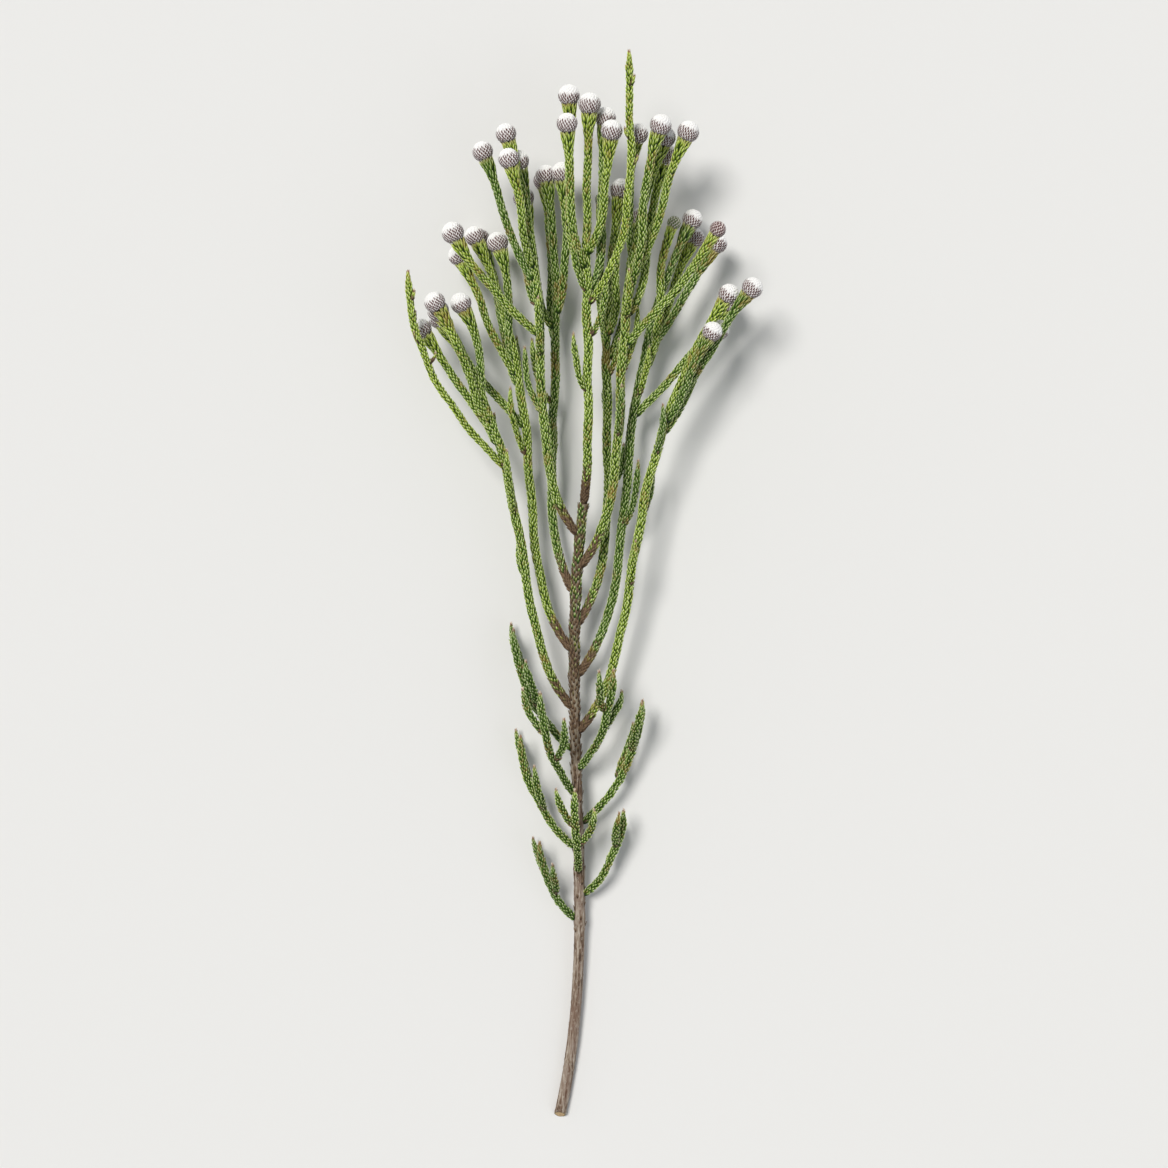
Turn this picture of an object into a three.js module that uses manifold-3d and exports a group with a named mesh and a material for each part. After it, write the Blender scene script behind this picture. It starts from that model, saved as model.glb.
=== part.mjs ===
// A cut flowering stem with silvery button heads, lying on a flat surface.
// Millimetres, +Z up. The cut end points to -Y and the heads to +Y.
// Woody stem, leafy side twigs, leafy sprays that fork into twigs, and one round head on each twig.
import * as THREE from 'three';
import { ConvexHull } from 'three/addons/math/ConvexHull.js';
import { mergeVertices } from 'three/addons/utils/BufferGeometryUtils.js';
import Module from 'manifold-3d';

const wasm = await Module();
wasm.setup();

// Driving dimensions
const GAP = 0.3; // clearance between pieces that grow on each other
const SHIFT = new THREE.Vector3(-2.25, -4.11, 0); // puts the origin under the middle of the whole stem

const STEM_SIDES = 8;
const STEM_PITCH = 15; // between two rings of the bark
const STEM_BASE_RADIUS = 3.4;
const STEM_TOP_RADIUS = 2.2;
const STEM_SWELLING = 0.45; // where a branch leaves
const SWELLING_REACH = 0.025; // to each side, as a share of the stem's length
const STEM_ROUGHNESS = 0.12;
const CUT_SLOPE = -0.8; // how much the secateurs' cut leans, its face turned up

const TWIG_SIDES = 5;
const TWIG_PITCH = 8; // between two rows of scale leaves, larger than life
const AXIS_RADIUS = 2.3; // of a spray's axis below its fork
const TWIG_RADIUS = 1.95;
const SIDE_TWIG_SIDES = 4;
const SIDE_TWIG_PITCH = 8;
const SIDE_TWIG_RADIUS = 1.6;
const BUDS = [0.6, 0.7, 0.79, 0.88]; // where a young shoot's side buds leave it
const BUD_RADIUS = 1.3;
const BUD_FORWARD = 6.4;
const BUD_OUT = 4;
const SPRIGS = [0.5, 0.72, 0.9]; // where short shoots leave a spray's axis, as shares of the way to its fork
const SPRIG_RADIUS = 1.35;
const SPRIG_FORWARD = 30;
const SPRIG_OUT = 10;
const SPRIG_TURN = 60; // degrees to either side of straight out of the crown
const SPRIG_VARIES = 0.3; // share of a sprig's length
const GOLDEN_ANGLE = Math.PI * (3 - Math.sqrt(5)); // between one bud or floret and the next
const LEAF_OUT = 1.24; // a leaf's tip, as a share of the twig's radius
const LEAF_IN = 0.86; // the hollow between leaves
const LEAF_REACH = 0.4; // how far a tip leans forward, as a share of the pitch
const FORK_SLOPE = 0.95; // how steeply a twig leaves what it grows on, out over forward
const FORK_STEP = 7; // along the axis between two twigs of one fork
const TIP_LENGTH = 7; // over which a twig without a head narrows
const TIP_NARROWING = 0.45; // share of its radius lost there
const STEM_ROOM = 20; // distance out from the stem at which a spray leaves it at the full slope

const HEAD_RADIUS = 5.6;
const SMALL_HEAD = 0.72; // an unripe head's share of that radius
const HEAD_SEAT = 0.54; // radius of a head's flat seat, as a share of the head's radius
const SEAT_SIDES = 6;
const COLLAR_LENGTH = 17; // over which a twig widens to carry its head
const COLLAR_FLARE = 1.6; // above 1, most of the widening comes just under the head
const FLORETS = 20; // on a whole ball, larger than life
const LOWEST_FLORET = 0.64; // share of the way from the head's middle down to its seat
const FLORET_DEPTH = 0.5;
const FOOT_PRESS = 0.9; // how far a head that carries the stem is pressed flat
const TABLE_CLEARANCE = 2; // under the seat of any other head, beyond the head's radius

// How much heads vary: degrees round the spray, share of the spread, height and radius
const TURN_VARIES = 12;
const SPREAD_VARIES = 0.12;
const HEIGHT_VARIES = 13;
const RADIUS_VARIES = 0.35;
const UNRIPE_FROM = 0.72; // a head whose random number, from -1 to 1, passes this is unripe
const MIDDLE_RISE = 9; // of a spray's middle head over the others
const MIDDLE_VARIES = 4;
const LOW_FORK = 30; // how far below the fork a spray's low head leaves its axis
const SHOOT_FORK = 20;

// How far a curve keeps its first and its last direction, as shares of its length
const AXIS_PULLS = [0.25, 0.45];
const TWIG_PULLS = [0.3, 0.42];
const SHOOT_PULLS = [0.35, 0.4];
const SIDE_PULLS = [0.35, 0.3];

const UP = new THREE.Vector3(0, 0, 1);
const GROWTH = new THREE.Vector3(0, 1, 0.04).normalize(); // the way twigs turn as they grow
const CROWN_X = 0; // middle line of the crown, from which heads splay
const CROWN_Z = 36;
const SPLAY = 120; // distance at which a head would lean out by 45 degrees

const woodMaterial = new THREE.MeshStandardMaterial({ color: 0x6f5642, roughness: 0.85, metalness: 0 });
const leafMaterial = new THREE.MeshStandardMaterial({ color: 0x6f8c3a, roughness: 0.6, metalness: 0 });
const headMaterial = new THREE.MeshStandardMaterial({ color: 0xdad8d4, roughness: 0.95, metalness: 0 });

// The woody stem's centre line: the cut end lies on the table and the crown holds the tip up.
const stemCurve = new THREE.CubicBezierCurve3(
  new THREE.Vector3(-12, -300, STEM_BASE_RADIUS * 0.85),
  new THREE.Vector3(14, -180, 6),
  new THREE.Vector3(-14, -60, 20),
  new THREE.Vector3(2, 66, 31),
);

// Each spray: where it leaves the stem (0 to 1 along it), the middle of its heads, how far below them
// it forks, how many heads stand round that middle, how far out, and the first one's angle. One more head
// stands in the middle. Then, where it has them: a head lower down, a young shoot's tip, and which head
// lies on the table.
const SPRAYS = [
  { from: 1, crown: [5, 272, 57], fork: 82, round: 4, spread: 13.5, turn: 40, shoot: [26, 309, 66] },
  { from: 0.95, crown: [-38, 250, 54], fork: 76, round: 3, spread: 12.5, turn: 70, low: [-28, -40, -4] },
  { from: 0.9, crown: [44, 255, 52], fork: 80, round: 4, spread: 13, turn: 10, low: [28, -42, 5] },
  { from: 0.86, crown: [-18, 232, 21], fork: 80, round: 3, spread: 12, turn: 30 },
  { from: 0.81, crown: [22, 224, 19], fork: 82, round: 3, spread: 12, turn: 90 },
  {
    from: 0.77, crown: [-56, 200, 21], fork: 76, round: 3, spread: 12.5, turn: 30,
    foot: 3, low: [-20, -36, 2],
  },
  {
    from: 0.73, crown: [60, 208, 20], fork: 80, round: 3, spread: 12.5, turn: 30,
    foot: 3, low: [20, -36, 2],
  },
  { from: 0.68, crown: [-74, 162, 51], fork: 70, round: 3, spread: 12, turn: 100, shoot: [-92, 194, 62] },
  { from: 0.64, crown: [78, 170, 49], fork: 74, round: 3, spread: 12, turn: 20 },
];

// Each leafy side twig: where it leaves the stem, how far round it (0 is +X, 90 is up) and its length.
const SIDE_TWIGS = [
  { from: 0.33, turn: 160, length: 58 },
  { from: 0.37, turn: 20, length: 64 },
  { from: 0.41, turn: 95, length: 66 },
  { from: 0.45, turn: 172, length: 80 },
  { from: 0.49, turn: 8, length: 88 },
  { from: 0.54, turn: 130, length: 76 },
  { from: 0.58, turn: 48, length: 74 },
  { from: 0.61, turn: 178, length: 84 },
];

// A repeatable random number from -1 to 1 for each whole number k.
function jitter(k) {
  const s = Math.sin(k * 12.9898) * 43758.5453;
  return 2 * (s - Math.floor(s)) - 1;
}

const radians = THREE.MathUtils.degToRad;

const smooth = (x) => {
  const t = Math.min(1, Math.max(0, x));
  return t * t * (3 - 2 * t);
};

// A closed geometry as a solid, for joining and cutting.
function solidOf(geometry) {
  const bare = geometry.clone();
  bare.deleteAttribute('normal');
  bare.deleteAttribute('uv');
  const merged = mergeVertices(bare, 1e-4);
  return new wasm.Manifold(
    new wasm.Mesh({
      numProp: 3,
      vertProperties: new Float32Array(merged.attributes.position.array),
      triVerts: new Uint32Array(merged.index.array),
    }),
  );
}

// The largest body of a solid, back as a geometry.
function geometryOf(solid) {
  const bodies = solid.decompose();
  const whole = bodies.reduce((a, b) => (b.volume() > a.volume() ? b : a));
  const mesh = whole.getMesh();
  return new THREE.BufferGeometry()
    .setAttribute('position', new THREE.BufferAttribute(Float32Array.from(mesh.vertProperties), 3))
    .setIndex(new THREE.BufferAttribute(Uint32Array.from(mesh.triVerts), 1));
}

// A tube of rings along a curve, closed at both ends. shape(ring, side, rings) gives a point's
// distance from the curve and its shift along it. A face pair is split between its two lower points.
function ringTube(curve, rings, sides, shape, pointed) {
  const frames = curve.computeFrenetFrames(rings, false);
  const positions = [];
  const index = [];
  const at = (ring, side) => ring * sides + (side % sides);
  for (let ring = 0; ring <= rings; ring++) {
    const centre = curve.getPointAt(ring / rings);
    for (let side = 0; side < sides; side++) {
      const angle = (2 * Math.PI * side) / sides;
      const { radius, shift } = shape(ring, side);
      const point = centre
        .clone()
        .addScaledVector(frames.normals[ring], radius * Math.cos(angle))
        .addScaledVector(frames.binormals[ring], radius * Math.sin(angle))
        .addScaledVector(frames.tangents[ring], shift);
      positions.push(point.x, point.y, point.z);
    }
  }
  for (let ring = 0; ring < rings; ring++) {
    for (let side = 0; side < sides; side++) {
      const a = at(ring, side);
      const b = at(ring, side + 1);
      const c = at(ring + 1, side + 1);
      const d = at(ring + 1, side);
      if ((ring + side) % 2 === 0) index.push(a, b, d, b, c, d);
      else index.push(a, b, c, a, c, d);
    }
  }
  const start = curve.getPointAt(0);
  const end = curve.getPointAt(1).addScaledVector(frames.tangents[rings], pointed);
  positions.push(start.x, start.y, start.z, end.x, end.y, end.z);
  const startAt = (rings + 1) * sides;
  for (let side = 0; side < sides; side++) {
    index.push(startAt, at(0, side + 1), at(0, side));
    index.push(startAt + 1, at(rings, side), at(rings, side + 1));
  }
  return new THREE.BufferGeometry()
    .setAttribute('position', new THREE.Float32BufferAttribute(positions, 3))
    .setIndex(index);
}

// A leafy twig: rows of scale leaves, every second point of a row a raised tip that leans forward.
function leafyTwig(curve, radiusAt, pointed, sides, pitch) {
  const length = curve.getLength();
  const rings = Math.max(3, Math.round(length / pitch));
  const reach = (length / rings) * LEAF_REACH;
  const shape = (ring, side) => {
    const radius = radiusAt((ring / rings) * length, length);
    if (ring === 0 || ring === rings) return { radius, shift: 0 };
    const tip = (ring + side) % 2 === 0;
    return { radius: radius * (tip ? LEAF_OUT : LEAF_IN), shift: tip ? reach : 0 };
  };
  return solidOf(ringTube(curve, rings, sides, shape, pointed));
}

// A twig, stouter up to its fork, that widens to a flat seat for its head.
function headTwig(curve, headRadius, fork) {
  const seat = headRadius * HEAD_SEAT + GAP;
  const radiusAt = (s, length) => {
    const twig = TWIG_RADIUS + (AXIS_RADIUS - TWIG_RADIUS) * smooth((fork - s) / FORK_STEP);
    return twig + (seat - twig) * smooth((s - (length - COLLAR_LENGTH)) / COLLAR_LENGTH) ** COLLAR_FLARE;
  };
  return leafyTwig(curve, radiusAt, 0, TWIG_SIDES, TWIG_PITCH);
}

// A twig that ends in a blunt green tip.
function tipTwig(curve, radius) {
  const radiusAt = (s, length) =>
    radius * (1 - TIP_NARROWING * Math.max(0, (s - length + TIP_LENGTH) / TIP_LENGTH));
  return leafyTwig(curve, radiusAt, radius, SIDE_TWIG_SIDES, SIDE_TWIG_PITCH);
}

// The woody stem, with a slanting cut, a swelling where each branch leaves it and ring scars between.
function woodyStem(extra) {
  const rings = Math.round(stemCurve.getLength() / STEM_PITCH);
  const joints = [...SPRAYS, ...SIDE_TWIGS].map((branch) => branch.from);
  const shape = (ring, side) => {
    const t = ring / rings;
    const nearest = Math.min(...joints.map((j) => Math.abs(j - t)));
    const swelling = STEM_SWELLING * Math.max(0, 1 - nearest / SWELLING_REACH);
    const taper = STEM_BASE_RADIUS + (STEM_TOP_RADIUS - STEM_BASE_RADIUS) * t;
    const radius = taper + swelling + STEM_ROUGHNESS * jitter(ring * STEM_SIDES + side) + extra;
    const lean = ring === 0 ? CUT_SLOPE * radius * Math.cos((2 * Math.PI * side) / STEM_SIDES) - extra : 0;
    return { radius, shift: ring === rings ? extra : lean };
  };
  return solidOf(ringTube(stemCurve, rings, STEM_SIDES, shape, extra));
}

// How far a head's middle lies above its seat.
const rise = (radius) => radius * Math.sqrt(1 - HEAD_SEAT ** 2);

// A round head on a flat seat, its axis along +Z and its seat at z = 0. Each floret is a low peak.
function headGeometry(radius) {
  const seat = radius * HEAD_SEAT;
  const middle = rise(radius);
  const points = [];
  for (let k = 0; k < FLORETS; k++) {
    const height = 1 - (2 * (k + 0.5)) / FLORETS;
    if (height * radius < -middle * LOWEST_FLORET) break;
    const across = Math.sqrt(1 - height * height);
    points.push(
      new THREE.Vector3(
        radius * across * Math.cos(k * GOLDEN_ANGLE),
        radius * across * Math.sin(k * GOLDEN_ANGLE),
        middle + radius * height,
      ),
    );
  }
  for (let side = 0; side < SEAT_SIDES; side++) {
    const angle = (2 * Math.PI * side) / SEAT_SIDES;
    points.push(new THREE.Vector3(seat * Math.cos(angle), seat * Math.sin(angle), 0));
  }
  const centre = new THREE.Vector3(0, 0, middle);
  const positions = [];
  for (const face of new ConvexHull().setFromPoints(points).faces) {
    const corners = [];
    let edge = face.edge;
    do {
      corners.push(edge.head().point.clone());
      edge = edge.next;
    } while (edge !== face.edge);
    if (corners.every((corner) => corner.z < 1e-6)) {
      corners.forEach((corner) => positions.push(...corner.toArray()));
      continue;
    }
    const low = corners[0].clone().add(corners[1]).add(corners[2]).divideScalar(3);
    low.lerp(centre, FLORET_DEPTH / radius);
    corners.forEach((corner, i) =>
      positions.push(...corner.toArray(), ...corners[(i + 1) % 3].toArray(), ...low.toArray()),
    );
  }
  return new THREE.BufferGeometry().setAttribute('position', new THREE.Float32BufferAttribute(positions, 3));
}

// Everything below the table, taken off what presses on it, and the stem with room round it.
const table = solidOf(new THREE.BoxGeometry(900, 900, 40).translate(0, 0, -20));
const stemRoom = woodyStem(GAP);

// A curve that leaves a along its first direction and reaches b along its last.
function bend(a, firstWay, b, lastWay, [firstPull, lastPull]) {
  const length = a.distanceTo(b);
  return new THREE.CubicBezierCurve3(
    a,
    a.clone().addScaledVector(firstWay, length * firstPull),
    b.clone().addScaledVector(lastWay, -length * lastPull),
    b,
  );
}

// The way a head at this point leans out of the crown.
const splayAt = (x, z) => new THREE.Vector3((x - CROWN_X) / SPLAY, 1, (z - CROWN_Z) / SPLAY).normalize();

// The heads of a spray: where each one's seat is, the way it points, its radius,
// and how far below the crown its twig leaves. The first one stands on the spray's own axis.
function headsOf(spray, number) {
  const [x, y, z] = spray.crown;
  const heads = [];
  const add = (key, dx, dy, dz, below) => {
    const unripe = jitter(key + 400) > UNRIPE_FROM;
    const radius = HEAD_RADIUS * (unripe ? SMALL_HEAD : 1) + RADIUS_VARIES * jitter(key + 200);
    const seat = new THREE.Vector3(x + dx, y + dy, Math.max(z + dz, radius + TABLE_CLEARANCE));
    const way = splayAt(seat.x, seat.z);
    if (heads.length === spray.foot) seat.z = radius - FOOT_PRESS - way.z * (GAP + rise(radius));
    heads.push({ seat, way, radius, below });
  };
  add(number * 10 + 7, 0, MIDDLE_RISE + MIDDLE_VARIES * jitter(number), 0, 0);
  for (let k = 0; k < spray.round; k++) {
    const key = number * 10 + k;
    const angle = radians(spray.turn + (360 * k) / spray.round + TURN_VARIES * jitter(key));
    const out = spray.spread * (1 + SPREAD_VARIES * jitter(key + 100));
    const below = spray.fork + FORK_STEP * (k - 1);
    add(key, out * Math.cos(angle), HEIGHT_VARIES * jitter(key + 300), out * Math.sin(angle), below);
  }
  if (spray.low) add(number * 10 + 8, ...spray.low, spray.fork + LOW_FORK);
  return heads;
}

// The way to set out from a for b: forward, and out to the side where b lies.
function leaving(a, b, room) {
  const across = b.clone().sub(a);
  across.addScaledVector(GROWTH, -across.dot(GROWTH));
  const slope = FORK_SLOPE * Math.min(1, across.length() / room);
  return GROWTH.clone().addScaledVector(across.normalize(), slope).normalize();
}

// A young shoot: a leafy twig with short side buds towards its tip.
function youngShoot(start, way, tip) {
  const main = bend(start, way, tip, GROWTH, SHOOT_PULLS);
  let solid = tipTwig(main, SIDE_TWIG_RADIUS);
  BUDS.forEach((share, k) => {
    const root = main.getPoint(share);
    const out = new THREE.Vector3(Math.cos(k * GOLDEN_ANGLE), 0, Math.sin(k * GOLDEN_ANGLE));
    const end = root.clone().addScaledVector(GROWTH, BUD_FORWARD).addScaledVector(out, BUD_OUT);
    solid = solid.add(tipTwig(new THREE.LineCurve3(root, end), BUD_RADIUS));
  });
  return solid;
}

// A short leafy shoot on a spray's axis, leaning out of the crown to one side or the other.
function sprig(root, spray, k, key) {
  const [x, , z] = spray.crown;
  const angle = Math.atan2(z - CROWN_Z, x - CROWN_X) + radians(SPRIG_TURN) * (k % 2 === 0 ? 1 : -1);
  const out = new THREE.Vector3(Math.cos(angle), 0, Math.sin(angle));
  const size = 1 + SPRIG_VARIES * jitter(key + 500);
  const end = root
    .clone()
    .addScaledVector(GROWTH, SPRIG_FORWARD * size)
    .addScaledVector(out, SPRIG_OUT * size);
  end.z = Math.max(end.z, SPRIG_RADIUS * 2);
  return tipTwig(bend(root, leaving(root, end, SPRIG_OUT), end, GROWTH, SIDE_PULLS), SPRIG_RADIUS);
}

// One spray: its axis, which ends in the first head, and its other twigs, with room for the stem at its foot.
function sprayMesh(spray, number, heads) {
  const foot = stemCurve.getPoint(spray.from);
  const [first, ...others] = heads;
  const axis = bend(foot, leaving(foot, first.seat, STEM_ROOM), first.seat, first.way, AXIS_PULLS);
  const length = axis.getLength();
  let solid = headTwig(axis, first.radius, length - spray.fork);
  for (const head of others) {
    const start = axis.getPointAt(1 - head.below / length);
    const way = leaving(start, head.seat, spray.spread);
    solid = solid.add(headTwig(bend(start, way, head.seat, head.way, TWIG_PULLS), head.radius, 0));
  }
  SPRIGS.forEach((share, k) => {
    const root = axis.getPointAt(share * (1 - spray.fork / length));
    solid = solid.add(sprig(root, spray, k, number * 10 + k));
  });
  if (spray.shoot) {
    const start = axis.getPointAt(1 - (spray.fork + SHOOT_FORK) / length);
    const tip = new THREE.Vector3(...spray.shoot);
    solid = solid.add(youngShoot(start, leaving(start, tip, spray.spread), tip));
  }
  const mesh = new THREE.Mesh(geometryOf(solid.subtract(stemRoom).subtract(table)), leafMaterial);
  mesh.name = `spray_${number + 1}`;
  return mesh;
}

// One head, seated on its twig with a clearance. One that carries the stem is flat where it lies.
function headMesh(head, name, isFoot) {
  const mesh = new THREE.Mesh(headGeometry(head.radius), headMaterial);
  mesh.name = name;
  mesh.position.copy(head.seat).addScaledVector(head.way, GAP);
  mesh.quaternion.setFromUnitVectors(UP, head.way);
  if (isFoot) {
    mesh.updateMatrix();
    const pressed = solidOf(mesh.geometry.clone().applyMatrix4(mesh.matrix)).subtract(table);
    mesh.geometry = geometryOf(pressed).applyMatrix4(mesh.matrix.clone().invert());
  }
  return mesh;
}

// A leafy side twig with two short forks, one to each side. Its shape is in shares of its length.
const SIDE_OUT = 0.42;
const SIDE_FORWARD = 0.86;
const SIDE_FORKS = [0.4, 0.62];
const FORK_SIDEWAYS = 0.16;
const FORK_OUT = 0.08;
const FORK_FORWARD = 0.36;
function sideTwigMesh(twig, number) {
  const foot = stemCurve.getPoint(twig.from);
  const angle = radians(twig.turn);
  const out = new THREE.Vector3(Math.cos(angle), 0, Math.sin(angle));
  const lowest = SIDE_TWIG_RADIUS * 2;
  const tip = foot
    .clone()
    .addScaledVector(out, twig.length * SIDE_OUT)
    .addScaledVector(GROWTH, twig.length * SIDE_FORWARD);
  tip.z = Math.max(tip.z, lowest);
  const leave = out.clone().lerp(GROWTH, 0.45).normalize();
  const main = bend(foot, leave, tip, GROWTH, SIDE_PULLS);
  let solid = tipTwig(main, SIDE_TWIG_RADIUS);
  for (const [k, share] of SIDE_FORKS.entries()) {
    const start = main.getPoint(share);
    const sideways = new THREE.Vector3(out.z, 0, -out.x).multiplyScalar(k === 0 ? 1 : -1);
    const end = start
      .clone()
      .addScaledVector(sideways, twig.length * FORK_SIDEWAYS)
      .addScaledVector(out, twig.length * FORK_OUT)
      .addScaledVector(GROWTH, twig.length * FORK_FORWARD);
    end.z = Math.max(end.z, lowest);
    const way = sideways.clone().lerp(GROWTH, 0.5).normalize();
    solid = solid.add(tipTwig(bend(start, way, end, GROWTH, SIDE_PULLS), SIDE_TWIG_RADIUS * 0.9));
  }
  const mesh = new THREE.Mesh(geometryOf(solid.subtract(stemRoom).subtract(table)), leafMaterial);
  mesh.name = `side_twig_${number + 1}`;
  return mesh;
}

const stem = new THREE.Group();
stem.position.copy(SHIFT);

const wood = new THREE.Mesh(geometryOf(woodyStem(0).subtract(table)), woodMaterial);
wood.name = 'woody_stem';
stem.add(wood);

SPRAYS.forEach((spray, number) => {
  const heads = headsOf(spray, number);
  const branch = new THREE.Group();
  branch.add(sprayMesh(spray, number, heads));
  heads.forEach((head, k) => branch.add(headMesh(head, `head_${number + 1}_${k + 1}`, k === spray.foot)));
  stem.add(branch);
});

SIDE_TWIGS.forEach((twig, number) => stem.add(sideTwigMesh(twig, number)));

export default stem;
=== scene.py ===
# %% [markdown]
# A cut stem with silvery button heads, laid on a table as a florist would lay it. The real thing is
# a woody stem with leafy sprays. Each spray forks into twigs that look braided, because small scale
# leaves cover them, and each twig ends in a round woolly head. The solids of the frame already hold
# every piece at its place. This lesson grows a finer piece over each of them, along the same
# curves, so that nothing has to be fitted by eye.

# %% Load the frame
import math

import bpy
import numpy as np
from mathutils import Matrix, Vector, noise


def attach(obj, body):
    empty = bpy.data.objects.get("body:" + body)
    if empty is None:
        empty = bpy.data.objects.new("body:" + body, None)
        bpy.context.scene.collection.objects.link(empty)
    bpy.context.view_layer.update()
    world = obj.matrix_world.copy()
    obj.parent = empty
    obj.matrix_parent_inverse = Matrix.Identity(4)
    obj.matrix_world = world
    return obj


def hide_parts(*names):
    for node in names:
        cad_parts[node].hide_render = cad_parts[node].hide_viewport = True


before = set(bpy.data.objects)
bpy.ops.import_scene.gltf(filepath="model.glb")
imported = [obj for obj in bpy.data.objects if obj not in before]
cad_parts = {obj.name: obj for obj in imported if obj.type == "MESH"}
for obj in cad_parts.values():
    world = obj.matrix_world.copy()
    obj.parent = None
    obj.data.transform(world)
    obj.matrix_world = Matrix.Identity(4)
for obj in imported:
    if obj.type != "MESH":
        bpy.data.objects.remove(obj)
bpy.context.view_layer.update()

MM = 0.001  # the lesson counts in millimetres and the scene in metres

# %% [markdown]
# The camera looks straight down, because the stem lies. The heads are at the top of the picture, as
# they grow. It stands a little towards the heads, so their white tops show more than their dark
# undersides. A long lens keeps near and far heads alike in size.

# %% Camera
PICTURE_WIDTH = 655.0  # what the picture spans at the height of the stem
LENS = 70.0
SENSOR = 36.0
LEAN = math.radians(8)
AIM = Vector((0.0, 16.0, 28.0))


def new_object(name, data):
    made = bpy.data.objects.new(name, data)
    bpy.context.scene.collection.objects.link(made)
    return made


def make_camera():
    data = bpy.data.cameras.new("camera")
    data.lens = LENS
    data.sensor_width = SENSOR
    camera = new_object("camera", data)
    away = PICTURE_WIDTH * LENS / SENSOR
    camera.location = (AIM + away * Vector((0, math.sin(LEAN), math.cos(LEAN)))) * MM
    camera.rotation_euler = (-LEAN, 0, 0)
    bpy.context.scene.camera = camera
    return away


print("camera stands", round(make_camera()), "mm away")

# %% [markdown]
# A finish is a small tree of nodes. Written node by node it can't be read, so a value that changes
# over the surface is wrapped in a Field. Sums on fields then add the Math nodes, and a finish reads
# like a formula.


# %% Fields
class Field:
    """A value that changes over a surface, for sums written as Python."""

    def __init__(self, finish, socket):
        self.finish = finish
        self.socket = socket

    def math(self, operation, *values):
        inputs = dict(enumerate(values))
        return self.finish.node("ShaderNodeMath", {"operation": operation}, inputs)

    def __add__(self, other):
        return self.math("ADD", self, other)

    __radd__ = __add__

    def __sub__(self, other):
        return self.math("SUBTRACT", self, other)

    def __rsub__(self, other):
        return self.math("SUBTRACT", other, self)

    def __mul__(self, other):
        return self.math("MULTIPLY", self, other)

    __rmul__ = __mul__

    def __pow__(self, other):
        return self.math("POWER", self, other)

    def __abs__(self):
        return self.math("ABSOLUTE", self)

    def sine(self):
        return self.math("SINE", self)

    def larger(self, other):
        return self.math("MAXIMUM", self, other)

    def between(self, low, high):
        """0 at low, 1 at high and smooth between, the other way round if low is the higher one."""
        settings = {"interpolation_type": "SMOOTHSTEP"}
        return self.finish.node("ShaderNodeMapRange", settings, {"Value": self, 1: low, 2: high})


print("a field can take part in sums")

# %% [markdown]
# A Finish holds one material. Every node comes from one method that takes its type, its settings
# and its inputs, so each helper after it is short. Colours go through Mix nodes, because a Math
# node would turn them grey. What is the same all over a surface is set on the shader itself.


# %% Finishes
class Finish:
    """A material and the one way to add nodes to it."""

    def __init__(self, name, constants):
        self.material = bpy.data.materials.new(name)
        self.material.use_nodes = True
        self.tree = self.material.node_tree
        self.shader = self.tree.nodes["Principled BSDF"]
        for socket, value in constants.items():
            self.shader.inputs[socket].default_value = value

    def node(self, kind, settings, inputs, output=0):
        made = self.tree.nodes.new(kind)
        for key, value in settings.items():
            if key == "stops":
                self.set_stops(made.color_ramp, value)
            else:
                setattr(made, key, value)
        for key, value in inputs.items():
            self.feed(made.inputs[key], value)
        return Field(self, made.outputs[output])

    def set_stops(self, ramp, stops):
        while len(ramp.elements) < len(stops):
            ramp.elements.new(1.0)
        for element, (position, colour) in zip(ramp.elements, stops):
            element.position = position
            element.color = (*colour, 1)

    def feed(self, socket, value):
        if isinstance(value, Field):
            self.tree.links.new(value.socket, socket)
        elif isinstance(value, tuple) and len(value) == 3 and socket.type == "RGBA":
            socket.default_value = (*value, 1)
        else:
            socket.default_value = value

    def give(self, **values):
        """Feeds sockets of the shader: base_color=... goes to Base Color."""
        for key, value in values.items():
            self.feed(self.shader.inputs[key.replace("_", " ").title()], value)

    def ramp(self, field, stops):
        return self.node("ShaderNodeValToRGB", {"stops": stops}, {0: field})

    def mix(self, share, one, other):
        settings = {"data_type": "RGBA"}
        return self.node("ShaderNodeMix", settings, {0: share, 6: one, 7: other}, output=2)

    def read(self, name):
        """The three numbers that a mesh keeps at each point under this name."""
        kept = self.node("ShaderNodeAttribute", {"attribute_name": name}, {}, output="Vector")
        parts = self.node("ShaderNodeSeparateXYZ", {}, {0: kept}).socket.node
        return [Field(self, socket) for socket in parts.outputs]

    def grain(self, size, detail=2.0, stretch=None):
        """Noise about size mm across, from 0 to 1, that sits still on the object."""
        place = self.node("ShaderNodeTexCoord", {}, {}, output="Object")
        if stretch:
            place = self.node("ShaderNodeMapping", {}, {0: place, "Scale": stretch})
        inputs = {"Vector": place, "Scale": 1 / (size * MM), "Detail": detail}
        return self.node("ShaderNodeTexNoise", {}, inputs)

    def bump(self, height, depth):
        """A normal from a height between 0 and 1 that stands for depth mm."""
        inputs = {"Strength": 1.0, "Distance": depth * MM, "Height": height}
        return self.node("ShaderNodeBump", {}, inputs)


print("a finish can be made")

# %% [markdown]
# The table is a plain pale floor. A flat sheet would end in a line across every low view, and an
# upright backdrop would shade one side. So the floor is a wide disc that rises far out like a
# shallow bowl.

# %% Floor
FLOOR_FLAT = 5000.0
FLOOR_RINGS = 20
FLOOR_SIDES = 96
BOWL_OUT = 22000.0
BOWL_UP = 7500.0
BOWL_STEEPENS = 1.5
FLOOR_COLOUR = (0.73, 0.73, 0.72)


def angles(count):
    """Equal steps once round."""
    return np.arange(count) * 2 * np.pi / count


def gather(*columns):
    """Rows from their columns. A single number fills its column."""
    return np.stack(np.broadcast_arrays(*columns), axis=-1)


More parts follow.
